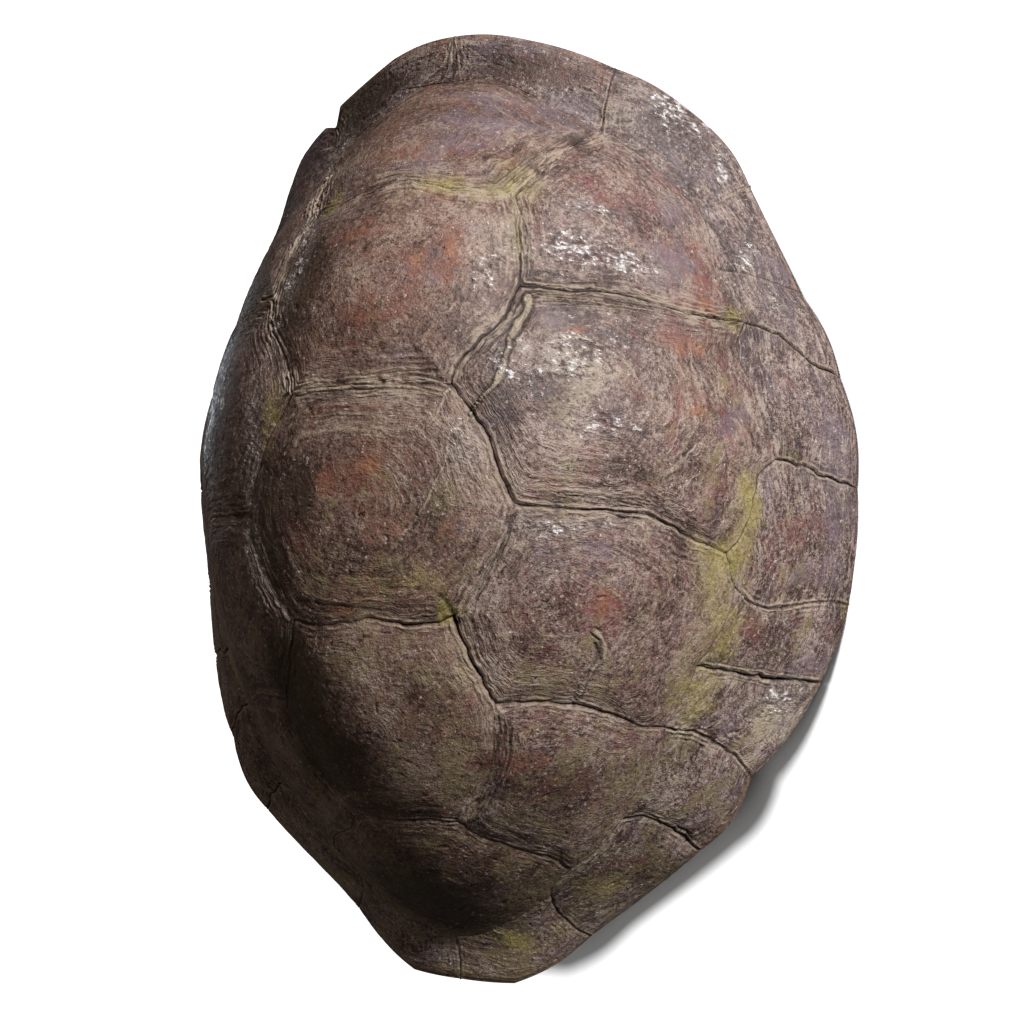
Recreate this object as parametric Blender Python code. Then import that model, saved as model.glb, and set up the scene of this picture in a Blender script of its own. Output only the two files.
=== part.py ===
"""Carapace of a large tortoise: the domed upper half of the shell, hollow and open below.

Units are metres and +Z is up. The animal looked along +Y and its right side is +X. The origin lies
on the ground below the middle of the shell, which rests on the worn lower edges of its flanks.
Bone and horn grew as one piece, so the whole shell is one solid.
"""

import math

import bmesh
import bpy
import numpy as np

NAME = "carapace"
MM = 0.001

# The form: a dome that turns into a skirt at the eave, where the side plates meet the edge plates.
CROWN_HEIGHT = 0.298
CROWN_STEEPNESS = 2.26  # fall of the dome at the eave, in eave radii
NOSE_STEEPNESS = 0.41  # how much steeper the dome falls towards the nose
EAVE_ROUNDING = 0.024
STATION_STEP = 20  # degrees between the stations below, from the nose to the tail
STATIONS = (  # eave radius in mm, eave height in mm, fall of the skirt for each mm outwards
    (355, 100, -0.28),
    (332, 86, 0.24),
    (300, 77, 1.16),
    (272, 81, 1.18),
    (252, 96, 1.20),
    (232, 127, 1.39),
    (228, 149, 1.11),
    (256, 141, 0.63),
    (309, 129, 0.73),
    (354, 115, 0.02),
)

# Where the seams meet, in mm right of the midline and ahead of the origin, seen from above.
# m.. are the inner ends of the seams between edge plates, r.. their ends on the rim, k.. and j.. the
# corners of the middle row of plates, and v.. the middles of the seams across that row.
CORNERS = {
    "m0": (0, 358), "m1": (120, 307), "m2": (195, 250), "m3": (212, 195), "m4": (234, 150),
    "m5": (257, 39), "c23": (223, -32), "m6": (228, -58), "m7": (201, -118), "m8": (179, -164),
    "m9": (144, -240), "c4v5": (103, -285), "m10": (84, -309), "m11": (0, -355),
    "r0": (0, 400), "nose": (61, 393), "r1": (129, 372), "shoulder": (187, 344), "r2": (234, 285),
    "r3": (278, 184), "r4": (309, 112), "r5": (323, 17), "r6": (317, -84), "r7": (294, -148),
    "r8": (240, -218), "r9": (200, -279), "r10": (108, -361), "tail": (46, -401), "r11": (0, -400),
    "k1": (76, 230), "j1": (96, 149), "k2": (57, 85), "j2": (98, 7),
    "k3": (59, -69), "j3": (80, -131), "k4": (42, -225),
    "v12": (0, 238), "v23": (0, 87), "v34": (0, -71), "v45": (0, -225),
}
# Left of the midline these corners lie this far further back, in mm: the shell grew a little askew.
LEFT_LAG = {"k1": 6, "k2": 3, "j2": 7, "k3": 6, "j3": 7, "k4": 2, "c23": 2, "m8": 3}
# How far a seam bows out of the straight line, in mm, to the right of the way from first to last.
BOWS = {
    ("m0", "m1"): -5, ("m1", "m2"): -6, ("m5", "c23"): 5, ("m6", "m7"): -9,
    ("j1", "m4"): -9, ("j2", "c23"): -7, ("k4", "c4v5"): 5, ("k2", "j2"): -4, ("j2", "k3"): 6,
    ("m5", "r5"): -2, ("m6", "r6"): 9, ("m7", "r7"): 4, ("m8", "r8"): -7, ("m9", "r9"): -8,
    ("m10", "r10"): 5,
    ("r0", "nose"): -2, ("nose", "r1"): -2, ("r1", "shoulder"): -3, ("shoulder", "r2"): -7,
    ("r3", "r4"): -5, ("r4", "r5"): -6, ("r5", "r6"): -4, ("r6", "r7"): -2, ("r7", "r8"): -5,
    ("r8", "r9"): -7, ("r9", "r10"): -2, ("r10", "tail"): -5,
}

MIDDLE_PLATES = (  # right-hand corners, from the front of the plate to its back
    ("m0", "m1", "k1", "v12"),
    ("v12", "k1", "j1", "k2", "v23"),
    ("v23", "k2", "j2", "k3", "v34"),
    ("v34", "k3", "j3", "k4", "v45"),
    ("v45", "k4", "c4v5", "m10", "m11"),
)
SIDE_PLATES = (
    ("m1", "m2", "m3", "m4", "j1", "k1"),
    ("m4", "m5", "c23", "j2", "k2", "j1"),
    ("c23", "m6", "m7", "m8", "j3", "k3", "j2"),
    ("m8", "m9", "c4v5", "k4", "j3"),
)
EDGE_PLATES = (
    ("m0", "r0", "nose", "r1", "m1"),
    ("m1", "r1", "shoulder", "r2", "m2"),
    ("m2", "r2", "r3", "m3"),
    ("m3", "r3", "r4", "m4"),
    ("m4", "r4", "r5", "m5"),
    ("m5", "r5", "r6", "m6", "c23"),
    ("m6", "r6", "r7", "m7"),
    ("m7", "r7", "r8", "m8"),
    ("m8", "r8", "r9", "m9"),
    ("m9", "r9", "r10", "m10", "c4v5"),
    ("m10", "r10", "tail", "r11", "m11"),
)
RIM = ("r0", "nose", "r1", "shoulder", "r2", "r3", "r4", "r5", "r6", "r7", "r8", "r9", "r10",
       "tail", "r11")

# The horn plates stand above their seams and swell towards the middle.
POINT_SPACING = 0.017
PLATE_RINGS = (0.93, 0.62, 0.3)  # each plate's rings of points, in parts of its outline
PLATE_THICKNESS = 0.0028
PLATE_SWELL = 0.005
EDGE_PLATE_SWELL = 0.0015

# The hollow inside.
WALL = 0.009
RIM_WALL = 0.005  # the wall thins out to this at the rim
RIM_TAPER = 0.10  # in parts of the radius
HOLLOW_RINGS = 9
SPINE_HEIGHT = 0.009
SPINE_HALF_WIDTH = 0.016
SPINE_REACH = 0.30

HORN_COLOUR = (0.125, 0.088, 0.068, 1)
HORN_ROUGHNESS = 0.55


def clear_scene():
    for found in list(bpy.data.objects):
        bpy.data.objects.remove(found, do_unlink=True)


def station_values(bearing):
    """Eave radius, eave height and skirt fall at a bearing in degrees, by a cubic through the stations."""
    table = np.array(STATIONS) * (MM, MM, 1)
    padded = np.concatenate([table[1:2], table, table[-2:-1]])
    tangents = (padded[2:] - padded[:-2]) / 2
    place = min(bearing / STATION_STEP, len(table) - 1 - 1e-9)
    i = int(place)
    s = place - i
    return (
        (2 * s**3 - 3 * s**2 + 1) * table[i]
        + (s**3 - 2 * s**2 + s) * tangents[i]
        + (3 * s**2 - 2 * s**3) * table[i + 1]
        + (s**3 - s**2) * tangents[i + 1]
    )


def form_height(x, y):
    """Height of the shell's base form, without its plates, above a point of the ground."""
    radius = math.hypot(x, y) + 1e-9
    ahead = y / radius
    eave, height, skirt_fall = station_values(math.degrees(math.acos(max(-1, min(1, ahead)))))
    steepness = CROWN_STEEPNESS + NOSE_STEEPNESS * max(ahead, 0) ** 2
    out = radius / eave
    inner = min(out, 1)
    dome = 1 - (4 - steepness) * inner**3 + (3 - steepness) * inner**4 - steepness * max(out - 1, 0)
    rise = CROWN_HEIGHT - height
    past = radius - eave
    turn = steepness * rise / eave - skirt_fall
    return height + rise * dome + turn * (past + math.hypot(past, EAVE_ROUNDING)) / 2


def form_normal(x, y):
    step = 0.5 * MM
    along_x = (form_height(x + step, y) - form_height(x - step, y)) / (2 * step)
    along_y = (form_height(x, y + step) - form_height(x, y - step)) / (2 * step)
    normal = np.array([-along_x, -along_y, 1])
    return normal / np.linalg.norm(normal)


def form_point(place, lift):
    """The point at this place in plan, lifted off the form along its normal."""
    x, y = place
    return np.array([x, y, form_height(x, y)]) + lift * form_normal(x, y)


def corner(name, side):
    x, y = CORNERS[name]
    lag = LEFT_LAG.get(name, 0) if side < 0 else 0
    return np.array([side * x, y - lag]) * MM


def seam(first, last, side):
    """Evenly spaced points in plan along a seam, both ends included."""
    if (last, first) in BOWS:
        return seam(last, first, side)[::-1]
    start, end = corner(first, side), corner(last, side)
    run = end - start
    length = np.linalg.norm(run)
    bow = side * BOWS.get((first, last), 0) * MM * np.array([run[1], -run[0]]) / length
    count = max(2, round(length / POINT_SPACING))
    return [start + run * t + bow * math.sin(math.pi * t) for t in np.linspace(0, 1, count + 1)]


def path(names, side):
    points = [seam(*pair, side)[:-1] for pair in zip(names, names[1:])]
    return [point for part in points for point in part]


def outlines():
    """Each plate's outline in plan, with its swell."""
    found = []
    for names in MIDDLE_PLATES:
        right = path(names, 1) + [corner(names[-1], 1)]
        left = path(names, -1)
        found.append((right + left[:0:-1], PLATE_SWELL))
    for side in (1, -1):
        for names in SIDE_PLATES:
            found.append((path(names + names[:1], side), PLATE_SWELL))
        for names in EDGE_PLATES:
            found.append((path(names + names[:1], side), EDGE_PLATE_SWELL))
    return found


def join_rings(mesh, outer, inner):
    count = len(outer)
    for i in range(count):
        j = (i + 1) % count
        mesh.faces.new((outer[i], outer[j], inner[j], inner[i]))


def close_ring(mesh, ring, middle):
    for i, vertex in enumerate(ring):
        mesh.faces.new((vertex, ring[(i + 1) % len(ring)], middle))


def add_plate(mesh, outline, swell):
    """One horn plate: rings of points shrinking from its seams to its middle."""
    middle = np.mean(outline, axis=0)
    outer = [mesh.verts.new(form_point(place, 0)) for place in outline]
    for part in PLATE_RINGS:
        lift = PLATE_THICKNESS + swell * (1 - part**2)
        places = [middle + (place - middle) * part for place in outline]
        ring = [mesh.verts.new(form_point(place, lift)) for place in places]
        join_rings(mesh, outer, ring)
        outer = ring
    close_ring(mesh, outer, mesh.verts.new(form_point(middle, PLATE_THICKNESS + swell)))


def wall_at(place, part):
    """Thickness of the bone wall, with the low ridge of the backbone along the midline."""
    taper = min(1, (1 - part) / RIM_TAPER)
    along = max(0, 1 - (place[1] / SPINE_REACH) ** 4)
    spine = SPINE_HEIGHT * along * math.exp(-((place[0] / SPINE_HALF_WIDTH) ** 2))
    return RIM_WALL + (WALL - RIM_WALL) * taper + spine * taper


def add_hollow(mesh):
    """The inner face: rings of points that follow the rim, closed at the crown."""
    rim = path(RIM, 1) + [corner(RIM[-1], 1)] + path(RIM, -1)[:0:-1]
    outer = [mesh.verts.new(form_point(place, 0)) for place in rim]
    for part in np.linspace(1, 1 / HOLLOW_RINGS, HOLLOW_RINGS):
        ring = [mesh.verts.new(form_point(place * part, -wall_at(place * part, part))) for place in rim]
        join_rings(mesh, outer, ring)
        outer = ring
    close_ring(mesh, outer, mesh.verts.new(form_point((0, 0), -wall_at((0, 0), 0))))


def shell_mesh():
    mesh = bmesh.new()
    for outline, swell in outlines():
        add_plate(mesh, outline, swell)
    add_hollow(mesh)
    bmesh.ops.remove_doubles(mesh, verts=mesh.verts, dist=0.01 * MM)
    bmesh.ops.triangulate(mesh, faces=mesh.faces)
    bmesh.ops.recalc_face_normals(mesh, faces=mesh.faces)
    data = bpy.data.meshes.new(NAME)
    mesh.to_mesh(data)
    mesh.free()
    return data


def horn_material():
    material = bpy.data.materials.new("horn")
    material.use_nodes = True
    shader = material.node_tree.nodes["Principled BSDF"]
    shader.inputs["Base Color"].default_value = HORN_COLOUR
    shader.inputs["Roughness"].default_value = HORN_ROUGHNESS
    return material


def collection(name):
    made = bpy.data.collections.new(name)
    bpy.context.scene.collection.children.link(made)
    return made


def add_ground_cutter():
    """A block below the ground, which leaves flats where the flanks are worn by what they rest on."""
    depth = 0.1
    bpy.ops.mesh.primitive_cube_add(size=1, location=(0, 0, -depth / 2))
    cutter = bpy.context.object
    cutter.name = "worn_edges"
    cutter.scale = (1, 1, depth)
    cutter.hide_render = True
    cutter.display_type = "WIRE"
    for home in list(cutter.users_collection):
        home.objects.unlink(cutter)
    collection("cutters").objects.link(cutter)
    return cutter


def main():
    clear_scene()
    shell = bpy.data.objects.new(NAME, shell_mesh())
    shell.data.materials.append(horn_material())
    collection("tortoise_shell").objects.link(shell)
    worn = shell.modifiers.new("worn edges", "BOOLEAN")
    worn.operation = "DIFFERENCE"
    worn.solver = "EXACT"
    worn.object = add_ground_cutter()
    shell.data.shade_smooth()
    shell.data.set_sharp_from_angle(angle=math.radians(40))


main()
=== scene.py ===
"""Looks of a large tortoise's upper shell: horn plates with growth rings over a thin bone vault.

Units are metres. The animal looked along +Y, its right side is +X, and the shell rests on z = 0.
"""

import math

import bmesh
import bpy
import numpy as np
from mathutils import Matrix, Vector


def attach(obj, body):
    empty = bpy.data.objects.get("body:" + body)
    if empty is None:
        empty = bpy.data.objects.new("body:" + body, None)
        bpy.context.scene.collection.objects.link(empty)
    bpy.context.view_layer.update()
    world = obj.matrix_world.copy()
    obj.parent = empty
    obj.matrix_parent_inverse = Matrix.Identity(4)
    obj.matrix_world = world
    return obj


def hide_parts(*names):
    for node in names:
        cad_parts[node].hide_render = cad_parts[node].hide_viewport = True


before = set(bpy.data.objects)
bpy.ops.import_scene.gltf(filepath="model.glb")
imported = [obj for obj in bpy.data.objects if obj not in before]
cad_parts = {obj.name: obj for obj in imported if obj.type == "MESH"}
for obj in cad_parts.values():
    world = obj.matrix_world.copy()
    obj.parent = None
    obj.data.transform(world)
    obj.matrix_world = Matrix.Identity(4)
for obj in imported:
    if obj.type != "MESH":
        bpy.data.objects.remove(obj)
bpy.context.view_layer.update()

MM = 0.001

# ---------------------------------------------------------------------------------------------
# The form of the shell: the same dome, eave and skirt as the solid that these pieces stand for.

CROWN_HEIGHT = 0.298
CROWN_STEEPNESS = 2.26
NOSE_STEEPNESS = 0.41
EAVE_ROUNDING = 0.024
STATION_STEP = 20
# Eave radius in mm, eave height in mm, and the fall of the skirt for each mm outwards
STATIONS = np.array((
    (355, 100, -0.28), (332, 86, 0.24), (300, 77, 1.16), (272, 81, 1.18), (252, 96, 1.20),
    (232, 127, 1.39), (228, 149, 1.11), (256, 141, 0.63), (309, 129, 0.73), (354, 115, 0.02),
)) * (MM, MM, 1)
WALL = 0.009
RIM_WALL = 0.005
RIM_TAPER = 0.10
SPINE_HEIGHT = 0.009
SPINE_HALF_WIDTH = 0.016
SPINE_REACH = 0.30

# Where the seams meet, in mm right of the midline and ahead of the origin.
CORNERS = {
    "m0": (0, 358), "m1": (120, 307), "m2": (195, 250), "m3": (212, 195), "m4": (234, 150),
    "m5": (257, 39), "c23": (223, -32), "m6": (228, -58), "m7": (201, -118), "m8": (179, -164),
    "m9": (144, -240), "c4v5": (103, -285), "m10": (84, -309), "m11": (0, -355),
    "r0": (0, 400), "nose": (61, 393), "r1": (129, 372), "shoulder": (187, 344), "r2": (234, 285),
    "r3": (278, 184), "r4": (309, 112), "r5": (323, 17), "r6": (317, -84), "r7": (294, -148),
    "r8": (240, -218), "r9": (200, -279), "r10": (108, -361), "tail": (46, -401), "r11": (0, -400),
    "k1": (76, 230), "j1": (94, 156), "k2": (57, 85), "j2": (98, 7),
    "k3": (59, -69), "j3": (80, -131), "k4": (42, -225),
    "v12": (0, 238), "v23": (0, 87), "v34": (0, -71), "v45": (0, -225),
}
LEFT_LAG = {"k1": 6, "k2": 3, "j2": 7, "k3": 6, "j3": 7, "k4": 2, "c23": 2, "m8": 3}
RIM_BOWS = {
    ("r0", "nose"): -2, ("nose", "r1"): -2, ("r1", "shoulder"): -3, ("shoulder", "r2"): -7,
    ("r2", "r3"): 0, ("r3", "r4"): -5, ("r4", "r5"): -6, ("r5", "r6"): -4, ("r6", "r7"): -2,
    ("r7", "r8"): -5, ("r8", "r9"): -7, ("r9", "r10"): -2, ("r10", "tail"): -5, ("tail", "r11"): 0,
}
# The seams of the left half are shallower than those of the right, and they hardly gape.
LEFT_SEAM_DEPTH = 0.45
LEFT_SEAM_GAP = 0.1
# The left rim is broken in where its first two plates meet.
LEFT_CORNERS = {"r1": (-131, 350)}
LEFT_RIM_KNOTS = {("nose", "r1"): (-127, 370), ("r1", "shoulder"): (-147, 355)}
RIM = ("r0", "nose", "r1", "shoulder", "r2", "r3", "r4", "r5", "r6", "r7", "r8", "r9", "r10",
       "tail", "r11")

# Every seam: its way between its ends in mm, its depth in mm at both ends (below 0 it is a welt),
# how wide it gapes in mm, and how strongly ridges run beside it.
SEAMS = {
    ("v12", "k1"): (((28, 234), (54, 229)), (-0.4, -0.2), 0.0, 1.4),
    ("v23", "k2"): (((30, 88),), (-0.3, -0.2), 0.0, 1.5),
    ("v34", "k3"): (((20, -73), (44, -74)), (1.4, 2.2), 0.5, 0.8),
    ("v45", "k4"): (((22, -223),), (0.7, 0.6), 0.1, 0.6),
    ("m0", "m1"): (((30, 357), (62, 343), (92, 326)), (0.2, 0.2), 0.0, 0.5),
    ("m1", "k1"): (((101, 286), (88, 254)), (0.2, -0.4), 0.0, 1.8),
    ("k1", "j1"): (((85, 208), (91, 180)), (-0.3, 0.8), 0.0, 1.6),
    ("j1", "k2"): (((86, 133), (71, 114), (61, 98)), (0.9, 0.8), 0.1, 1.9),
    ("k2", "j2"): (((72, 67), (83, 48), (91, 26)), (2.0, 2.0), 0.4, 0.5),
    ("j2", "k3"): (((91, -16), (76, -45)), (0.1, -0.2), 0.0, 1.3),
    ("k3", "j3"): (((66, -92), (73, -113)), (2.3, 2.0), 0.7, 0.7),
    ("j3", "k4"): (((76, -165), (60, -200)), (0.1, -0.3), 0.0, 1.2),
    ("k4", "c4v5"): (((50, -239), (68, -251), (90, -266)), (0.6, 1.0), 0.2, 0.9),
    ("c4v5", "m10"): (((91, -297),), (0.9, 0.9), 0.3, 0.5),
    ("m10", "m11"): (((55, -333), (24, -350)), (0.4, 0.3), 0.0, 0.4),
    ("j1", "m4"): (((115, 156), (139, 157), (165, 155), (192, 151), (213, 149)),
                   (2.0, 0.3), 0.5, 2.0),
    ("j2", "c23"): (((124, 4), (154, 1), (178, -4), (203, -21)), (1.9, 1.5), 0.25, 1.3),
    ("j3", "m8"): (((100, -132), (124, -137), (146, -147), (164, -160)), (2.4, 1.4), 0.7, 0.5),
    ("m8", "m9"): (((174, -190), (163, -216)), (0.3, 0.2), 0.0, 0.4),
    ("m9", "c4v5"): (((131, -257), (117, -272)), (0.4, 0.6), 0.0, 0.8),
    ("m1", "m2"): (((146, 293), (174, 267)), (0.4, 0.6), 0.0, 0.9),
    ("m2", "m3"): (((204, 222),), (0.6, 0.7), 0.1, 0.6),
    ("m3", "m4"): (((223, 172),), (0.7, 0.9), 0.1, 0.5),
    ("m4", "m5"): (((229, 126), (240, 94), (252, 62)), (0.5, 0.3), 0.0, 0.8),
    ("m5", "c23"): (((246, 27), (240, 2), (232, -20)), (1.2, 1.1), 0.3, 0.5),
    ("c23", "m6"): (((225, -46),), (1.0, 0.8), 0.2, 0.6),
    ("m6", "m7"): (((223, -80), (213, -102)), (0.3, 0.4), 0.0, 0.3),
    ("m7", "m8"): (((192, -141),), (0.6, 0.8), 0.1, 0.4),
    ("m0", "r0"): (((0, 380),), (-1.6, -1.9), 0.0, 1.6),
    ("m1", "r1"): (((121, 340),), (0.4, 0.3), 0.0, 1.7),
    ("m2", "r2"): (((214, 263),), (-0.3, 0.2), 0.0, 0.8),
    ("m3", "r3"): (((246, 192),), (0.9, 0.9), 0.2, 0.6),
    ("m4", "r4"): (((250, 146), (264, 139), (287, 121)), (1.7, 1.6), 0.8, 0.8),
    ("m5", "r5"): (((270, 37), (288, 30), (302, 23)), (2.3, 1.6), 1.1, 1.0),
    ("m6", "r6"): (((237, -72), (254, -79), (288, -78)), (0.9, 0.8), 0.2, 1.2),
    ("m7", "r7"): (((228, -129), (262, -138)), (3.0, 1.9), 2.3, 0.8),
    ("m8", "r8"): (((204, -175), (222, -192)), (1.5, 1.2), 0.6, 1.3),
    ("m9", "r9"): (((164, -242), (178, -254), (190, -268)), (2.4, 2.0), 1.1, 0.8),
    ("m10", "r10"): (((86, -326), (96, -346)), (1.5, 1.4), 0.6, 0.5),
    ("m11", "r11"): (((0, -380),), (0.7, 0.9), 0.2, 0.9),
}

MIDDLE_PLATES = {
    "middle_1": ("m0", "m1", "k1", "v12"),
    "middle_2": ("v12", "k1", "j1", "k2", "v23"),
    "middle_3": ("v23", "k2", "j2", "k3", "v34"),
    "middle_4": ("v34", "k3", "j3", "k4", "v45"),
    "middle_5": ("v45", "k4", "c4v5", "m10", "m11"),
}
SIDE_PLATES = {
    "side_1": ("m1", "m2", "m3", "m4", "j1", "k1"),
    "side_2": ("m4", "m5", "c23", "j2", "k2", "j1"),
    "side_3": ("c23", "m6", "m7", "m8", "j3", "k3", "j2"),
    "side_4": ("m8", "m9", "c4v5", "k4", "j3"),
}
EDGE_PLATES = {
    "edge_01": ("m0", "r0", "nose", "r1", "m1"),
    "edge_02": ("m1", "r1", "shoulder", "r2", "m2"),
    "edge_03": ("m2", "r2", "r3", "m3"),
    "edge_04": ("m3", "r3", "r4", "m4"),
    "edge_05": ("m4", "r4", "r5", "m5"),
    "edge_06": ("m5", "r5", "r6", "m6", "c23"),
    "edge_07": ("m6", "r6", "r7", "m7"),
    "edge_08": ("m7", "r7", "r8", "m8"),
    "edge_09": ("m8", "r8", "r9", "m9"),
    "edge_10": ("m9", "r9", "r10", "m10", "c4v5"),
    "edge_11": ("m10", "r10", "tail", "r11", "m11"),
}
# The oldest spot of a plate, in mm, where it isn't the middle. Growth rings run round it.
AREOLAS = {
    "side_1": (134, 218), "side_2": (132, 92), "side_3": (122, -62), "side_4": (112, -196),
    "middle_2": (0, 158), "middle_3": (0, 8), "middle_4": (0, -148),
    "edge_08": (236, -172),
}
# How clearly the growth lines of a plate still show.
LINES_KEPT = {
    "middle_1": 0.9, "middle_2": 0.3, "middle_3": 0.62, "middle_4": 0.45, "middle_5": 0.4,
    "side_1": 0.6, "side_2": 0.85, "side_3": 0.7, "side_4": 0.5,
}
EDGE_LINES_KEPT = 0.85

# Fine lines that fan out from the nose
NOSE_FAN = (
    ((2, 399), (5, 386), (13, 374), (24, 365)),
    ((3, 399), (9, 389), (19, 381), (31, 373)),
    ((1, 399), (2, 384), (5, 366), (8, 356)),
    ((-2, 399), (-6, 385), (-14, 373), (-26, 366)),
    ((-1, 399), (-3, 383), (-7, 368), (-11, 357)),
    ((-4, 398), (-12, 388), (-21, 381), (-34, 377)),
)
# Cracks and folds: the way in mm, half width in mm, height of the filling and depth of its edges in
# mm, and how pale the filling is. At 0 the crack is open, and from SOUND_FILLING on its filling is
# whole and not partly worn off.
# Open cracks, and the grooves at a filling's edges, are also given painted shade.
SOUND_FILLING = 0.7
CRACKS = (
    (((99, 147), (98, 132), (92, 116), (90, 101), (86, 88), (79, 77), (72, 66)),
     3.2, 1.1, 1.2, 1.0),
    (((139, -90), (140, -98), (138, -108)), 1.9, -1.6, 0.5, 0.0),
    (((140, -82), (144, -92), (143, -103), (137, -110), (133, -118), (129, -127), (125, -137)),
     2.3, 0.8, 0.7, 1.0),
    (((122, -141), (118, -147), (111, -157)), 0.9, 0.3, 0.3, 0.8),
    (((19, 376), (34, 371), (46, 366)), 0.6, -0.6, 0.2, 0.0),
    (((150, 138), (158, 138), (162, 134), (160, 130)), 0.7, -0.7, 0.2, 0.0),
    (((100, 163), (108, 166), (113, 162)), 1.3, -0.8, 0.3, 0.0),
    (((183, -254), (189, -258), (192, -266), (187, -268)), 1.1, -1.4, 0.4, 0.0),
    (((-40, -205), (-52, -218), (-58, -232)), 0.9, 0.4, 0.4, 0.6),
    *((way, 0.9, 0.4, 0.2, 0.75) for way in NOSE_FAN),
    (((57, 84), (52, 74), (47, 62), (37, 50)), 1.3, 0.5, 0.5, 1.0),
    (((62, 52), (68, 30), (78, 6)), 1.2, 0.6, 0.4, 0.6),
    (((53, 46), (60, 24), (69, 2)), 1.1, 0.5, 0.4, 0.55),
    (((47, 30), (52, 12), (59, -6)), 1.0, 0.4, 0.3, 0.5),
    (((72, 65), (58, 51), (57, 34), (50, 19), (45, 4), (34, -10), (28, -18), (27, -27)),
     1.2, 0.4, 0.4, 0.75),
    (((-53, 47), (-48, 53), (-26, 55), (8, 56), (36, 53), (48, 45), (50, 36)), 3.2, 0.5, 0.2, 0.45),
    (((-52, 82), (-27, 84), (11, 84), (39, 82), (56, 77)), 1.7, 0.6, 0.4, 0.9),
    (((-50, 78), (-20, 79), (15, 79), (40, 77)), 1.1, 0.4, 0.3, 0.5),
    (((-53, 66), (-18, 67), (19, 66), (43, 65)), 1.0, 0.4, 0.3, 0.45),
    (((59, 34), (64, 25), (66, 14)), 0.9, 0.4, 0.2, 0.6),
    (((111, 113), (130, 118), (147, 111), (159, 102), (167, 88), (174, 74), (178, 60)),
     1.5, 0.5, 0.4, 0.8),
    (((126, 112), (143, 106), (154, 97), (161, 85), (167, 71)), 1.0, 0.4, 0.3, 0.6),
    (((173, 122), (182, 106), (192, 88), (196, 72), (198, 51)), 1.2, 0.4, 0.3, 0.45),
    (((198, 58), (197, 46), (194, 36), (187, 29), (178, 21)), 2.8, 0.3, 0.2, 0.5),
    (((186, 112), (195, 94), (203, 75), (205, 58)), 0.9, 0.3, 0.2, 0.4),
    (((207, 92), (214, 75), (217, 62), (212, 43), (205, 39)), 1.1, 0.3, 0.3, 0.4),
    (((129, 12), (144, 10), (157, 6), (171, 3)), 1.0, 0.7, 0.6, 0.55),
    (((136, 17), (150, 15), (164, 10), (179, 4), (189, -4)), 1.0, 0.6, 0.5, 0.5),
    (((104, 151), (140, 152), (163, 151), (183, 149)), 0.9, 0.7, 0.6, 0.6),
    (((99, 147), (135, 146), (163, 146), (195, 143)), 1.1, 0.7, 0.6, 0.7),
    (((107, 142), (148, 143), (173, 141)), 0.8, 0.4, 0.4, 0.5),
    (((114, 213), (122, 221), (132, 219), (138, 210)), 1.2, 0.6, 0.4, 0.7),
    (((116, 206), (124, 204), (132, 210)), 0.9, 0.4, 0.4, 0.5),
    (((109, 300), (137, 296), (172, 261), (198, 220), (211, 186)), 1.0, 0.4, 0.4, 0.45),
    (((107, 288), (134, 281), (162, 254), (183, 215), (198, 183)), 0.9, 0.3, 0.3, 0.4),
    (((68, 235), (84, 267), (100, 300)), 1.1, 0.5, 0.5, 0.5),
    (((63, 230), (77, 259), (93, 294)), 1.0, 0.4, 0.5, 0.45),
    (((85, 210), (91, 181), (94, 161)), 1.0, 0.6, 0.6, 0.55),
    (((91, 202), (96, 179), (98, 162)), 0.9, 0.5, 0.6, 0.5),
    (((82, 204), (87, 178), (90, 163)), 0.8, 0.4, 0.5, 0.4),
    (((-55, -60), (-12, -63), (24, -63), (46, -62)), 1.0, -0.5, 0.2, 0.0),
    (((52, -56), (57, -64), (60, -74)), 2.6, -1.2, 0.3, 0.0),
    (((93, -14), (84, -36), (74, -58)), 1.0, 0.5, 0.5, 0.35),
    (((81, -6), (72, -26), (62, -48)), 1.0, 0.5, 0.5, 0.35),
    (((84, -140), (80, -170), (66, -202), (50, -224)), 1.0, 0.4, 0.5, 0.35),
    (((149, -52), (157, -61), (158, -77), (154, -93)), 1.4, 0.4, 0.3, 0.45),
    (((164, -57), (167, -74), (164, -90)), 1.3, 0.4, 0.3, 0.45),
    (((154, -23), (168, -35), (174, -44)), 1.0, 0.5, 0.4, 0.6),
    (((206, -116), (225, -123), (245, -129), (265, -135), (285, -142)), 1.0, 0.4, 0.3, 0.5),
    (((208, -129), (229, -132), (245, -141), (257, -145)), 1.0, 0.4, 0.3, 0.5),
    (((-97, 1), (-81, -28), (-61, -70)), 0.9, 0.4, 0.3, 0.6),
    (((-149, -6), (-118, 0), (-97, 1)), 0.9, 0.4, 0.3, 0.6),
)
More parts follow.
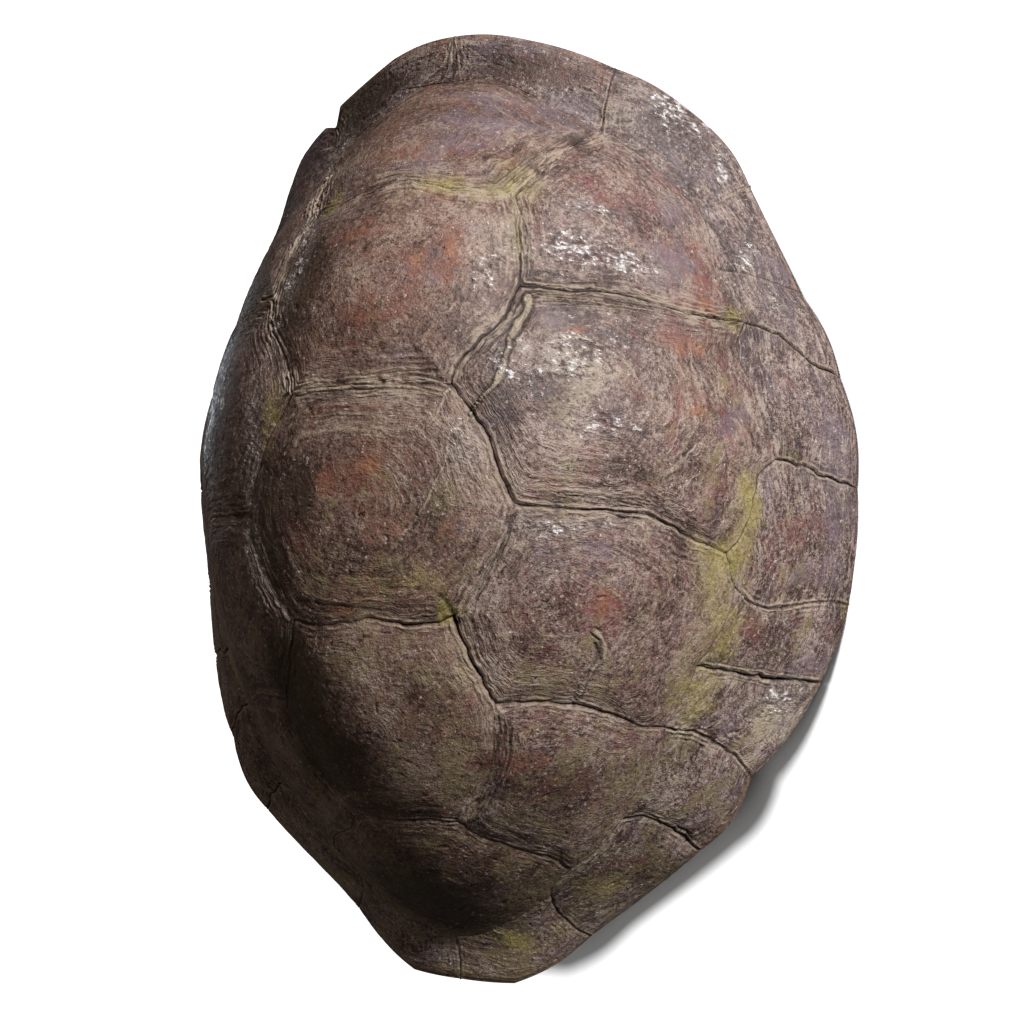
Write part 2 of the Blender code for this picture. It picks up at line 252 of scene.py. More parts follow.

# Stains, worn places, and painted light and shade: middle in mm, reach in mm, strength. Pale marks
# are paler horn, in places painted light where highlights fall; dark marks are dark stains, in
# places painted shade; sheen marks make the horn glossier and are painted with a pale sheen and
# white glints.
RED, VIOLET, LICHEN, PALE_AND_PAINTED_LIGHT, DARK_AND_PAINTED_SHADE, SHEEN_AND_GLOSS = range(6)
MARKS = {
    RED: ((142, -66, 10, 12, 1.0), (80, 360, 50, 14, 0.9), (10, 265, 42, 10, 0.7),
        (28, 175, 26, 20, 0.8), (14, 140, 18, 20, 1.0), (-20, 200, 26, 14, 0.6),
        (48, 186, 10, 20, 0.7), (-30, 110, 26, 12, 0.5), (129, 119, 10, 3, 1.2),
        (200, 126, 20, 12, 0.9), (205, 74, 7, 7, 1.3), (192, 70, 4, 24, 0.7),
        (203, 155, 22, 12, 0.9), (129, 237, 24, 12, 0.9), (150, -55, 12, 26, 0.7),
        (2, 27, 16, 14, 1.0), (-28, 22, 10, 14, 0.7), (12, -8, 22, 14, 0.7), (0, 73, 46, 4, 0.8),
        (-24, -72, 30, 4, 1.0), (85, -175, 36, 24, 0.8), (120, -202, 24, 16, 0.5),
        (250, -10, 28, 30, 0.5), (240, -95, 30, 14, 0.5), (130, -280, 26, 10, 0.8),
        (70, -330, 20, 20, 0.6), (190, 190, 22, 34, 0.8), (60, 366, 46, 10, 0.5),
        (118, 340, 8, 30, 0.6), (60, 322, 40, 8, 0.6), (-70, -72, 10, 22, 0.9),
        (-130, 70, 30, 30, 0.4), (-120, -210, 30, 40, 0.4)),
    VIOLET: ((70, 384, 60, 8, 0.7), (300, -20, 10, 22, 0.9), (285, -133, 12, 10, 0.9),
        (50, 300, 70, 30, 0.6), (304, 12, 16, 32, 0.9), (280, -55, 20, 12, 0.9),
        (292, 70, 20, 42, 0.8), (223, 66, 10, 16, 1.1), (180, 186, 20, 18, 0.9),
        (255, 190, 18, 26, 0.8), (40, 290, 60, 50, 0.5), (265, -168, 20, 12, 0.6),
        (176, 232, 16, 40, 0.7), (150, -322, 36, 14, 1.0), (25, -380, 22, 12, 0.9),
        (180, 348, 46, 12, 0.7), (50, 330, 40, 9, 0.8), (130, 215, 26, 10, 0.5),
        (215, -220, 18, 18, 0.5), (-255, 100, 30, 60, 0.6), (-270, -90, 30, 60, 0.6),
        (-150, 330, 60, 20, 0.5), (120, -30, 30, 12, 0.4), (60, 20, 12, 26, 0.4)),
    LICHEN: ((239, 5, 9, 26, 1.0), (222, -36, 19, 20, 1.0), (216, -85, 17, 30, 0.7),
        (198, -140, 20, 20, 0.7), (76, 242, 18, 16, 0.55), (30, 229, 34, 9, 0.6),
        (86, 195, 9, 30, 0.4), (32, -46, 28, 10, 0.5), (50, -356, 15, 10, 1.2),
        (124, -305, 26, 14, 0.45), (-74, 72, 10, 30, 0.6), (80, -345, 14, 8, 0.3),
        (56, -64, 6, 10, 1.0), (61, -62, 7, 7, 1.0), (226, 151, 9, 12, 0.6),
        (-225, 20, 12, 60, 0.7), (-180, -130, 16, 30, 0.6), (-60, 232, 14, 8, 0.6)),
    PALE_AND_PAINTED_LIGHT: ((122, 92, 34, 22, 0.75), (205, 62, 22, 36, 0.4), (66, 205, 20, 30, 0.4),
        (84, 185, 10, 36, 0.2), (132, 55, 40, 18, 0.5), (46, 60, 12, 12, 0.8), (0, 82, 58, 4, 1.3),
        (2, 56, 46, 6, 1.0), (150, 36, 30, 10, 0.4), (44, -100, 20, 22, 0.6),
        (122, -60, 34, 30, 0.4), (125, -5, 40, 5, 0.9), (10, 190, 30, 40, 0.6),
        (-4, -112, 26, 34, 1.0), (22, -160, 20, 26, 0.8), (258, -176, 26, 18, 1.2),
        (172, -208, 34, 26, 1.1), (255, -165, 26, 26, 0.9), (80, -350, 24, 14, 0.5),
        (90, 258, 12, 26, 0.25), (128, 98, 16, 12, 1.2), (-30, 262, 50, 14, 0.3),
        (20, 250, 40, 6, 0.6), (155, 138, 32, 6, 0.7), (55, 290, 22, 8, 0.6),
        (-20, 160, 24, 12, 0.4), (-5, 40, 34, 5, 0.6), (108, -230, 30, 8, 0.4),
        (165, 150, 50, 5, 0.5), (250, -50, 30, 16, 0.25), (172, -72, 20, 30, 0.35),
        (140, -222, 20, 16, 0.4), (130, 70, 10, 26, 0.5), (150, 88, 12, 20, 0.5),
        (24, -388, 30, 8, 0.5)),
    DARK_AND_PAINTED_SHADE: ((40, 372, 56, 20, 0.6), (-62, 368, 44, 20, 1.1), (-170, -220, 60, 60, 0.8),
        (-60, 165, 22, 54, 1.1), (-30, 130, 20, 16, 0.4), (118, 84, 17, 14, 0.7),
        (62, 115, 8, 20, 0.8), (-46, 18, 12, 26, 1.3), (-72, -12, 22, 50, 1.0),
        (-64, -118, 32, 44, 1.3), (-42, -178, 42, 26, 1.2), (-6, -214, 34, 12, 0.8),
        (112, 82, 12, 14, 0.3), (108, -52, 18, 20, 0.5), (-40, -150, 50, 60, 0.3),
        (0, -300, 84, 50, 1.3), (60, 318, 60, 10, 0.3), (222, 150, 10, 12, 0.8),
        (70, 362, 60, 14, 0.75), (-120, 0, 60, 200, 0.4), (45, 20, 16, 40, 0.4),
        (106, -196, 44, 22, 0.95), (170, 100, 12, 20, 0.4), (160, 30, 40, 8, 0.6),
        (50, -340, 50, 16, 0.5), (150, -290, 60, 30, 0.5), (-110, 350, 40, 40, 1.1),
        (104, 338, 30, 16, 0.6), (250, -108, 24, 14, 0.4), (34, -150, 20, 44, 0.55),
        (150, 318, 24, 20, 0.6), (186, 290, 18, 26, 0.6), (222, 200, 12, 26, 0.5),
        (92, 70, 10, 20, 0.6)),
    SHEEN_AND_GLOSS: ((126, 220, 20, 6, 1.3), (118, 187, 22, 16, 1.3), (152, 178, 22, 12, 1.3),
        (76, 165, 10, 30, 1.0), (124, 97, 18, 11, 1.3), (150, 60, 22, 12, 1.3),
        (104, 84, 8, 12, 0.9), (140, 112, 34, 8, 0.9), (-185, 84, 26, 50, 1.3),
        (-258, 122, 64, 50, 1.3), (-258, 0, 50, 60, 0.9), (176, 330, 24, 24, 1.2),
        (212, 295, 14, 22, 1.2), (232, 212, 14, 18, 1.0), (255, 166, 14, 18, 0.7),
        (126, -8, 38, 7, 1.3), (260, -158, 26, 16, 1.2), (-150, 90, 30, 60, 0.9),
        (-200, 290, 30, 40, 0.8), (-78, 188, 9, 60, 1.3), (88, 100, 7, 22, 1.0),
        (-112, 320, 8, 30, 1.0), (160, 134, 50, 8, 0.7), (195, 350, 40, 8, 1.0),
        (70, 45, 10, 14, 0.8), (-92, 20, 10, 90, 0.8)),
}

STRONGEST_MARK = 1.3

# Meshes, in metres
SPACING = 0.0016
RING_ROUNDNESS = 0.8  # above 0, and rounder the bigger it is
RING_SHARE = 1.2  # rings of points for each step along the outline
RINGS_PACKED = 0.6  # how much closer the rings lie at a plate's seams
PLATE_THICKNESS = 0.0028
PLATE_SWELL = 0.005
EDGE_PLATE_SWELL = 0.0015
RING_SHIFT = 0.317  # from plate to plate, so that no two have the same streaks
AGE_FROM_RIM = 0.85  # how far an edge plate's rings run along the rim and not round its areola
PLATE_FLOOR = 0.0046  # how deep a plate's hidden back lies in the bone
BONE_TOP = 0.0034  # how deep the bone lies in the seams
RIM_RADIUS = 0.0027
RIM_TURNS = np.radians([18, 36, 58, 84, 110, 136, 158, 180])
LIP = 0.021  # how far the edge plates wrap under the rim
# How far under the rim each row of the lip lies, and how deep it is sunk into the bone
LIP_ROWS = (
    (0.003, -0.0006), (0.008, -0.0006), (0.014, -0.0006), (LIP, -0.0005), (LIP + 0.001, 0.001),
)
BACK_SHARES = (0.85, 0.6, 0.35, 0.1)  # rings that close a plate's hidden back
GROUND = 0.02 * MM  # where the plates that reach the ground are cut flat
GROUND_PLATES = [f"edge_0{number}" for number in range(2, 10)]
# How high the fine strands of a plate stand
STREAK_HEIGHT = 0.00042
STREAK_HEIGHTS = {
    "edge_01": 0.0009, "edge_02": 0.0011, "edge_03": 0.0008, "edge_04": 0.0006,
    "edge_05": 0.00055, "edge_09": 0.0006, "edge_10": 0.0008, "edge_11": 0.0008,
}

# The relief beside a seam, in metres
SLOT_REACH = 0.0007
VALLEY_REACH = 0.008
SEAM_LIP_AT, SEAM_LIP_WIDTH = 0.0026, 0.0011
RIDGE_REACH = 0.0105

# The bone vault, in metres
VAULT_SPACING = 0.0045
VAULT_INSET = 4 * MM
OUTER_ROWS, INNER_ROWS = 56, 84
RIB_SPACING = 0.078
RIB_HALF_WIDTH = 0.009
RIB_HEIGHT = 1.8 * MM
JOINT_HALF_WIDTH = 0.9 * MM
OFF_JOINTS = 20  # any number at which a joint between the ribs has faded out


def station_values(bearing):
    """Eave radius, eave height and skirt fall at bearings in degrees from the nose."""
    padded = np.concatenate([STATIONS[1:2], STATIONS, STATIONS[-2:-1]])
    tangents = (padded[2:] - padded[:-2]) / 2
    place = np.clip(bearing / STATION_STEP, 0, len(STATIONS) - 1 - 1e-9)
    i = place.astype(int)
    s = (place - i)[..., None]
    found = (
        (2 * s**3 - 3 * s**2 + 1) * STATIONS[i]
        + (s**3 - 2 * s**2 + s) * tangents[i]
        + (3 * s**2 - 2 * s**3) * STATIONS[i + 1]
        + (s**3 - s**2) * tangents[i + 1]
    )
    return found[..., 0], found[..., 1], found[..., 2]


def form_height(x, y):
    """Height of the dome, or of the skirt outside its eave."""
    radius = np.hypot(x, y) + 1e-9
    ahead = y / radius
    eave, height, skirt_fall = station_values(np.degrees(np.arccos(np.clip(ahead, -1, 1))))
    steepness = CROWN_STEEPNESS + NOSE_STEEPNESS * np.maximum(ahead, 0) ** 2
    out = radius / eave
    inner = np.minimum(out, 1)
    dome = 1 - (4 - steepness) * inner**3 + (3 - steepness) * inner**4
    dome -= steepness * np.maximum(out - 1, 0)
    rise = CROWN_HEIGHT - height
    past = radius - eave
    turn = steepness * rise / eave - skirt_fall
    return height + rise * dome + turn * (past + np.hypot(past, EAVE_ROUNDING)) / 2


def form_normal(x, y):
    """The form's outward normal."""
    step = 0.5 * MM
    along_x = (form_height(x + step, y) - form_height(x - step, y)) / (2 * step)
    along_y = (form_height(x, y + step) - form_height(x, y - step)) / (2 * step)
    normal = np.stack([-along_x, -along_y, np.ones_like(along_x)], -1)
    return normal / np.linalg.norm(normal, axis=-1, keepdims=True)


def on_form(places):
    """(points on the form, outward normals) above these places of the plan."""
    x, y = places[..., 0], places[..., 1]
    return np.stack([x, y, form_height(x, y)], -1), form_normal(x, y)


def smooth_step(x, low, high):
    t = np.clip((x - low) / (high - low), 0, 1)
    return t * t * (3 - 2 * t)


def soft_noise(places, size, seed):
    """Smooth noise between -1 and 1 over the plan, in lumps of this size."""
    cells = 96
    grid = np.random.default_rng(seed).uniform(-1, 1, (cells, cells))
    at = places / size
    low = np.floor(at).astype(int)
    part = at - low
    part = part * part * (3 - 2 * part)
    i, j = low[..., 0] % cells, low[..., 1] % cells
    i2, j2 = (i + 1) % cells, (j + 1) % cells
    s, t = part[..., 0], part[..., 1]
    return (grid[i, j] * (1 - s) + grid[i2, j] * s) * (1 - t) + (
        grid[i, j2] * (1 - s) + grid[i2, j2] * s
    ) * t


def wandering(places, jagged=1.0):
    """How far a seam strays here from its drawn way: slow bends and small jags."""
    slow = [soft_noise(places, 0.026, seed) * 1.3 * MM for seed in (11, 12)]
    jags = [
        soft_noise(places, 0.0068, seed) * 0.7 + soft_noise(places, 0.0033, seed) * 0.45
        for seed in (13, 14)
    ]
    return np.stack(slow, -1) + np.stack(jags, -1) * MM * np.asarray(jagged)[..., None]


def corner(name, side):
    """Where seams meet, on the right (side 1) or the left (side -1)."""
    if side < 0 and name in LEFT_CORNERS:
        return np.array(LEFT_CORNERS[name]) * MM
    x, y = CORNERS[name]
    lag = LEFT_LAG.get(name, 0) if side < 0 else 0
    return np.array([side * x, y - lag]) * MM


def evenly(line, spacing):
    """The line again, in even steps."""
    run = np.concatenate([[0], np.cumsum(np.linalg.norm(np.diff(line, axis=0), axis=1))])
    at = np.linspace(0, run[-1], max(4, round(run[-1] / spacing)) + 1)
    return np.stack([np.interp(at, run, line[:, k]) for k in (0, 1)], 1)


def smooth_line(knots):
    """A smooth curve through the knots."""
    padded = np.concatenate([[2 * knots[0] - knots[1]], knots, [2 * knots[-1] - knots[-2]]])
    t = np.linspace(0, 1, 16, endpoint=False)[:, None]
    parts = [
        0.5 * (2 * b + (c - a) * t + (2 * a - 5 * b + 4 * c - d) * t**2
               + (3 * b - a - 3 * c + d) * t**3)
        for a, b, c, d in zip(padded, padded[1:], padded[2:], padded[3:])
    ]
    return np.concatenate([*parts, knots[-1:]])


def rim_line(first, last, side, spacing):
    """The rim from one corner to the next, a little bowed."""
    start, end = corner(first, side), corner(last, side)
    if side < 0 and (first, last) in LEFT_RIM_KNOTS:
        knot = np.array(LEFT_RIM_KNOTS[(first, last)]) * MM
        return evenly(np.array([start, knot, end]), spacing)
    run = end - start
    bow = side * RIM_BOWS[(first, last)] * MM * np.array([run[1], -run[0]]) / np.linalg.norm(run)
    t = np.linspace(0, 1, 40)[:, None]
    return evenly(start + run * t + bow * np.sin(math.pi * t), spacing)


def seam_line(first, last, side):
    """The wandering way of a seam. It runs straight where it meets the rim."""
    knots = SEAMS[(first, last)][0]
    ends = corner(first, side), corner(last, side)
    lags = np.linspace(LEFT_LAG.get(first, 0), LEFT_LAG.get(last, 0), len(knots) + 2)[1:-1]
    lags = lags if side < 0 else 0 * lags
    middles = [np.array([side * x, y - lag]) * MM for (x, y), lag in zip(knots, lags)]
    line = evenly(smooth_line(np.array([ends[0], *middles, ends[1]])), SPACING)
    from_rim = np.ones(len(line))
    if last.startswith("r"):
        from_rim = smooth_step(np.linalg.norm(line - line[-1], axis=1), 0, 0.02)
    jagged = 0.8 + SEAMS[(first, last)][2] * np.sin(np.linspace(0, math.pi, len(line)))
    return line + wandering(line, jagged) * from_rim[:, None]


def stretch(first, last, side):
    """(points, looks) along one side of a plate. A look: depth, gap, ridges, whether it is rim."""
    if (last, first) in SEAMS or (last, first) in RIM_BOWS:
        points, looks = stretch(last, first, side)
        return points[::-1], looks[::-1]
    if (first, last) in RIM_BOWS:
        points = rim_line(first, last, side, SPACING)
        return points, np.tile((0.0, 0.0, 0.0, 1.0), (len(points), 1))
    _, depths, gap, ridges = SEAMS[(first, last)]
    if side < 0 and not last.startswith("r"):
        depths, gap = np.multiply(depths, LEFT_SEAM_DEPTH), gap * LEFT_SEAM_GAP
    points = seam_line(first, last, side)
    depth = np.linspace(*depths, len(points)) * MM
    ragged = 1 + 1.1 * soft_noise(points, 0.011, 15) + 0.6 * soft_noise(points, 0.004, 16)
    opening = gap * MM * 0.5 * np.maximum(ragged, 0.15)
    return points, np.stack([depth, opening, 0 * depth + ridges, 0 * depth], 1)


def smoothed(values, reach):
    """Values round a closed outline, averaged with their neighbours."""
    kernel = np.hanning(2 * reach + 3)[1:-1]
    kernel /= kernel.sum()
    count = len(values)
    index = (np.arange(count)[:, None] + np.arange(-reach, reach + 1)) % count
    if values.ndim == 1:
        return np.tensordot(values[index], kernel, (1, 0))
    return np.einsum("nkc,k->nc", values[index], kernel)


def outline_of(stretches):
    """(points, looks, which side it is) of a plate's closed outline, anticlockwise from above."""
    points, looks, sides = [], [], []
    for number, (first, last, side) in enumerate(stretches):
        line, look = stretch(first, last, side)
        points.append(line[:-1])
        looks.append(look[:-1])
        rim = look[0, 3] > 0.5
        sides += [-1 if rim else number] * (len(line) - 1)
    points, looks, sides = np.concatenate(points), np.concatenate(looks), np.array(sides)
    x, y = points[:, 0], points[:, 1]
    if np.sum(x * np.roll(y, -1) - np.roll(x, -1) * y) < 0:
        points, looks, sides = points[::-1], looks[::-1], sides[::-1]
    return points, smoothed(looks, 3), sides


def halves(names):
    """The stretches of a plate on the midline: down its right side and back up its left."""
    pairs = list(zip(names, names[1:]))
    return [(a, b, 1) for a, b in pairs] + [(b, a, -1) for a, b in reversed(pairs)]


def loop(names, side):
    """The stretches round a plate beside the midline."""
    return [(a, b, side) for a, b in zip(names, names[1:] + names[:1])]


def wall_at(places, part):
    """Thickness of the bone, with the backbone's ridge along the midline."""
    taper = np.minimum(1, (1 - part) / RIM_TAPER)
    along = np.maximum(0, 1 - (places[..., 1] / SPINE_REACH) ** 4)
    spine = SPINE_HEIGHT * along * np.exp(-((places[..., 0] / SPINE_HALF_WIDTH) ** 2))
    return RIM_WALL + (WALL - RIM_WALL) * taper + spine * taper


def ring_mesh(name, rows, attributes):
    """A closed mesh of rings, each a row of points, from the middle of its face to its back's."""
    count = rows.shape[1]
    top, bottom = rows[0].mean(0), rows[-1].mean(0)
    points = np.concatenate([[top], rows.reshape(-1, 3), [bottom]])
    i = np.arange(count)
    j = (i + 1) % count
    starts = 1 + np.arange(len(rows)) * count
    quads = np.concatenate([
        np.stack([a + i, b + i, b + j, a + j], 1) for a, b in zip(starts, starts[1:])
    ])
    end = len(points) - 1
    fans = np.concatenate([
        np.stack([0 * i, starts[0] + i, starts[0] + j], 1),
        np.stack([starts[-1] + i, end + 0 * i, starts[-1] + j], 1),
    ])
    mesh = bpy.data.meshes.new(name)
    mesh.vertices.add(len(points))
    mesh.vertices.foreach_set("co", points.astype(np.float32).ravel())
    corners = np.concatenate([quads.ravel(), fans.ravel()]).astype(np.int32)
    mesh.loops.add(len(corners))
    mesh.loops.foreach_set("vertex_index", corners)
    mesh.polygons.add(len(quads) + len(fans))
    firsts = np.concatenate([np.arange(len(quads)) * 4, len(quads) * 4 + np.arange(len(fans)) * 3])
    mesh.polygons.foreach_set("loop_start", firsts.astype(np.int32))
    mesh.update(calc_edges=True)
    mesh.validate()
    for key, values in attributes.items():
        flat = values.reshape(-1, 3)
        whole = np.concatenate([flat[:1], flat, flat[-1:]]).astype(np.float32)
        mesh.attributes.new(key, "FLOAT_VECTOR", "POINT").data.foreach_set("vector", whole.ravel())
    return mesh


def nearest(points, line):
    """(distance to a line, index of the nearest of its points)."""
    flat = points.reshape(-1, 3)
    index = np.empty(len(flat), int)
    short, thin = flat.astype(np.float32), line.astype(np.float32)
    square = (thin**2).sum(1)
    at_once = 8192
    for start in range(0, len(flat), at_once):
        part = slice(start, start + at_once)
        index[part] = (square - 2 * short[part] @ thin.T).argmin(1)
    to_point = flat - line[index]
    distance = np.linalg.norm(to_point, axis=1)
    for step in (-1, 1):
        run = line[np.clip(index + step, 0, len(line) - 1)] - line[index]
        length = (run**2).sum(1) + 1e-12
        along = np.clip((to_point * run).sum(1) / length, 0, 1) * (length < (3 * SPACING) ** 2)
        distance = np.minimum(distance, np.linalg.norm(to_point - along[:, None] * run, axis=1))
    return distance.reshape(points.shape[:-1]), index.reshape(points.shape[:-1])


def line_distance(places, line):
    """Distance in plan from places to a line of knots, and how far along the nearest point lies."""
    best = np.full(places.shape[:-1], 1.0)
    along = np.zeros(places.shape[:-1])
    run = 0
    for a, b in zip(line, line[1:]):
        way = b - a
        length = np.linalg.norm(way)
        t = np.clip(((places - a) @ way) / length**2, 0, 1)
        d = np.linalg.norm(places - a - t[..., None] * way, axis=-1)
        along = np.where(d < best, run + t * length, along)
        best = np.minimum(best, d)
        run += length
    return best, along / run


def cracks_at(places):
    """(paleness, painted shade, height) of the cracks at these places."""
    found = np.zeros(places.shape[:-1] + (3,))
    low, high = places.reshape(-1, 2).min(0) - 0.01, places.reshape(-1, 2).max(0) + 0.01
    for way, half, height, depth, pale in CRACKS:
        line = np.array(way) * MM
        if (line.max(0) < low).any() or (line.min(0) > high).any():
            continue
        line = smooth_line(line)[::4] if len(line) > 2 else line
        line = line + wandering(line * 1.7)  # other bends than those of the seams close by
        distance, along = line_distance(places, line)
        half = half * MM * (0.75 + 0.45 * soft_noise(places, 0.008, 31)) * (1 - 0.6 * along**3)
        core = 1 - smooth_step(distance, 0.5 * half, half)
        edge = np.exp(-(((distance - half - 0.4 * MM) / (0.7 * MM)) ** 2))
        if 0 < pale < SOUND_FILLING:
            worn_off = soft_noise(places, 0.013, 32) + 0.5 * soft_noise(places, 0.004, 33)
            core = core * smooth_step(worn_off, -0.75, 0.1)
        # Painted shade: open cracks and the grooves at a filling's edges are coloured dark
        dark = np.maximum(edge * depth, core * 0.8 * (pale == 0))
        found[..., 0] = np.maximum(found[..., 0], core * pale)
        found[..., 1] = np.maximum(found[..., 1], dark)
        found[..., 2] += core * height * MM - edge * depth * MM
    return found


def marks_at(places):
    """Strengths of the six kinds of stain, wear, and painted light and shade at these places. Their
    outlines are uneven.
    """
    warped = places + np.stack([soft_noise(places, 0.02, s) for s in (41, 42)], -1) * 6 * MM
    east, north = warped[..., 0] / MM, warped[..., 1] / MM
    found = np.zeros(places.shape[:-1] + (len(MARKS),))
    for kind, spots in MARKS.items():
        for x, y, reach_x, reach_y, strength in spots:
            away = ((east - x) / reach_x) ** 2 + ((north - y) / reach_y) ** 2
            found[..., kind] += strength * np.exp(-away)
    return np.minimum(found, STRONGEST_MARK)


def plate_rows(outline, areola):
    """Places in plan and shares of the growth, for every ring of points of a plate."""
    spokes = outline - areola
    reach = np.linalg.norm(spokes, axis=1)
    count = round(reach.max() / SPACING * RING_SHARE)
    t = (np.arange(count) + 1) / count
    part = t * (1 + RINGS_PACKED * (1 - t))
    part = np.maximum(part, 0.4 / count)[:, None]
    rounding = part**RING_ROUNDNESS
    reaches = part * (reach.mean() * (1 - rounding) + reach * rounding)
    places = areola + spokes / reach[:, None] * reaches[..., None]
    return places, np.broadcast_to(part, reaches.shape), reach.mean()


def back_rows(outline, rim):
    """The rings behind a plate's face: down into the seam, or round the rim and under it."""
    base, normal = on_form(outline)
    outward = outline / np.linalg.norm(outline, axis=1, keepdims=True)
    outward = np.concatenate([outward, np.zeros((len(outward), 1))], 1)
    along = outward - (outward * normal).sum(1, keepdims=True) * normal
    along /= np.linalg.norm(along, axis=1, keepdims=True)
    centre = base - RIM_RADIUS * normal
    seam_side = base - normal * PLATE_FLOOR
    rows = []
    for turn in RIM_TURNS:
        under = centre + RIM_RADIUS * (math.cos(turn) * normal + math.sin(turn) * along)
        down = base - normal * (BONE_TOP * 0.5 + (PLATE_FLOOR - BONE_TOP * 0.5) * turn / math.pi)
        rows.append(under * rim + down * (1 - rim))
    for inward, sink in LIP_ROWS:
        inside = outline - outward[:, :2] * inward
        point, inner = on_form(inside)
        part = 1 - inward / np.linalg.norm(outline, axis=1)
        under = point - inner * (wall_at(inside, part) - sink)[:, None]
        rows.append(under * rim + seam_side * (1 - rim))
    return rows


def plate_mesh(name, stretches, areola, lines_kept, seed):
    """A plate's plain face and back, with what its relief and its material need to know."""
    outline, looks, sides = outline_of(stretches)
    rim = smoothed((looks[:, 3] > 0.5).astype(float), 2)
    tangent = np.roll(outline, -1, 0) - np.roll(outline, 1, 0)
    tangent /= np.linalg.norm(tangent, axis=1, keepdims=True)
    inward = np.stack([-tangent[:, 1], tangent[:, 0]], 1)
    outward = outline / np.linalg.norm(outline, axis=1, keepdims=True)
    _, normal = on_form(outline)
    rim_inset = RIM_RADIUS * (1 - (normal[:, :2] * outward).sum(1)) + 0.5 * MM
    from_seam = looks[:, 1] / 2 * (1 - rim)
    outline = outline + inward * from_seam[:, None] - outward * (rim_inset * rim)[:, None]
    areola = outline.mean(0) if areola is None else areola
    # Points that double back, as seen from the areola, are left out.
    turned = np.unwrap(np.arctan2(outline[:, 1] - areola[1], outline[:, 0] - areola[0]))
    ahead = turned > np.concatenate([[-9.0], np.maximum.accumulate(turned)[:-1]]) + 1e-4
    ahead &= turned < turned[0] + 2 * math.pi - 1e-3
    outline, looks, sides, rim = outline[ahead], looks[ahead], sides[ahead], rim[ahead]
    places, part, reach = plate_rows(outline, areola)
    base, normal = on_form(places)

    seam_points, rim_points = sides >= 0, sides < 0
    edge_points = on_form(outline)[0]
    to_seam, which = nearest(base, edge_points[seam_points])
    near = looks[seam_points][which]
    age = (1 - part) * reach
    to_rim = np.full(part.shape, 1.0)
    if rim_points.any():
        to_rim = nearest(base, edge_points[rim_points])[0]
        age = to_rim * AGE_FROM_RIM + age * (1 - AGE_FROM_RIM)

    back = back_rows(outline, rim[:, None])
    for share in BACK_SHARES:
        shrunk = areola + (places[-1] - areola) * share
        point, inner = on_form(shrunk)
        back.append(point - inner * PLATE_FLOOR)

    marks = marks_at(places)
    front = {
        "growth": np.stack([age + seed * RING_SHIFT, part, 0 * part + lines_kept], -1),
        "out": normal,
        "seam": np.stack([to_seam, near[..., 0], near[..., 2]], -1),
        "edge": np.stack([to_rim, np.ones(part.shape), 0 * part], -1),
        "stain": marks[..., :3],
        # Pale, dark and sheen marks: wear, and in places painted light and shade
        "wear_and_painted_light": marks[..., 3:],
        "crack": cracks_at(places),
    }
    attributes = {}
    for key, values in front.items():
        last = np.repeat(values[-1:], len(back), 0).copy()
        # Behind the face only the rim's wraps keep the horn colour; the seam walls get painted
        # shade
        if key == "edge":
            last[..., 1] = rim
        if key == "out":
            last[:] = 0
        attributes[key] = np.concatenate([values, last])
    return ring_mesh(name, np.concatenate([base, np.stack(back)]), attributes)


# ---------------------------------------------------------------------------------------------
# Node trees


class Wire:
    """A value in a node tree, so that a formula of nodes reads as a formula."""

    def __init__(self, tree, socket):
        self.tree, self.socket = tree, socket

    def node(self, operation, *values, clamp=False):
        made = self.tree.nodes.new("ShaderNodeMath")
        made.operation, made.use_clamp = operation, clamp
        for socket, value in zip(made.inputs, values):
            plug(self.tree, socket, value)
        return Wire(self.tree, made.outputs[0])

    def clamped(self):
        return self.node("ADD", self, 0.0, clamp=True)

    def exp(self):
        return self.node("EXPONENT", self)

    def cos(self):
        return self.node("COSINE", self)

    def size(self):
        return self.node("ABSOLUTE", self)

    def least(self, other):
        return self.node("MINIMUM", self, other)

    def most(self, other):
        return self.node("MAXIMUM", self, other)

    def fading(self, reach):
        """1 at 0, and less and less away from it."""
        return (self * (-1 / reach)).exp()

    def bell(self, reach):
        """1 at 0, and a bell's curve on both sides of it."""
        return ((self / reach) ** 2.0 * -1.0).exp()

    def step(self, low, high):
        """0 below low, 1 above high, and smooth between."""
        made = self.tree.nodes.new("ShaderNodeMapRange")
        made.interpolation_type = "SMOOTHSTEP"
        for key, value in (("Value", self), ("From Min", low), ("From Max", high)):
            plug(self.tree, made.inputs[key], value)
        return Wire(self.tree, made.outputs[0])

    def times(self, factors):
        """A vector, stretched."""
        made = self.tree.nodes.new("ShaderNodeVectorMath")
        made.operation = "MULTIPLY"
        plug(self.tree, made.inputs[0], self)
        plug(self.tree, made.inputs[1], factors)
        return Wire(self.tree, made.outputs[0])

    def parts(self):
        made = self.tree.nodes.new("ShaderNodeSeparateXYZ")
        plug(self.tree, made.inputs[0], self)
        return [Wire(self.tree, socket) for socket in made.outputs]

    def noise(self, scale, detail=2.0, roughness=0.5, w=0.0):
        """Noise of this vector, -0.5 to 0.5."""
        made = self.tree.nodes.new("ShaderNodeTexNoise")
        made.noise_dimensions = "4D"
        keys = ("Vector", "W", "Scale", "Detail", "Roughness")
        for key, value in zip(keys, (self, w, scale, detail, roughness)):
            plug(self.tree, made.inputs[key], value)
        return Wire(self.tree, made.outputs[0]) - 0.5

    def streaks(self, ring, along, across, detail=2.0, seed=0.0):
        """Noise drawn out along growth rings: its changes in a metre along and across them."""
        return self.noise(along, detail, 0.6, ring * (across / along) + seed)


def arithmetic(operation, swapped):
    def made(self, other):
        return self.node(operation, *((other, self) if swapped else (self, other)))

    return made


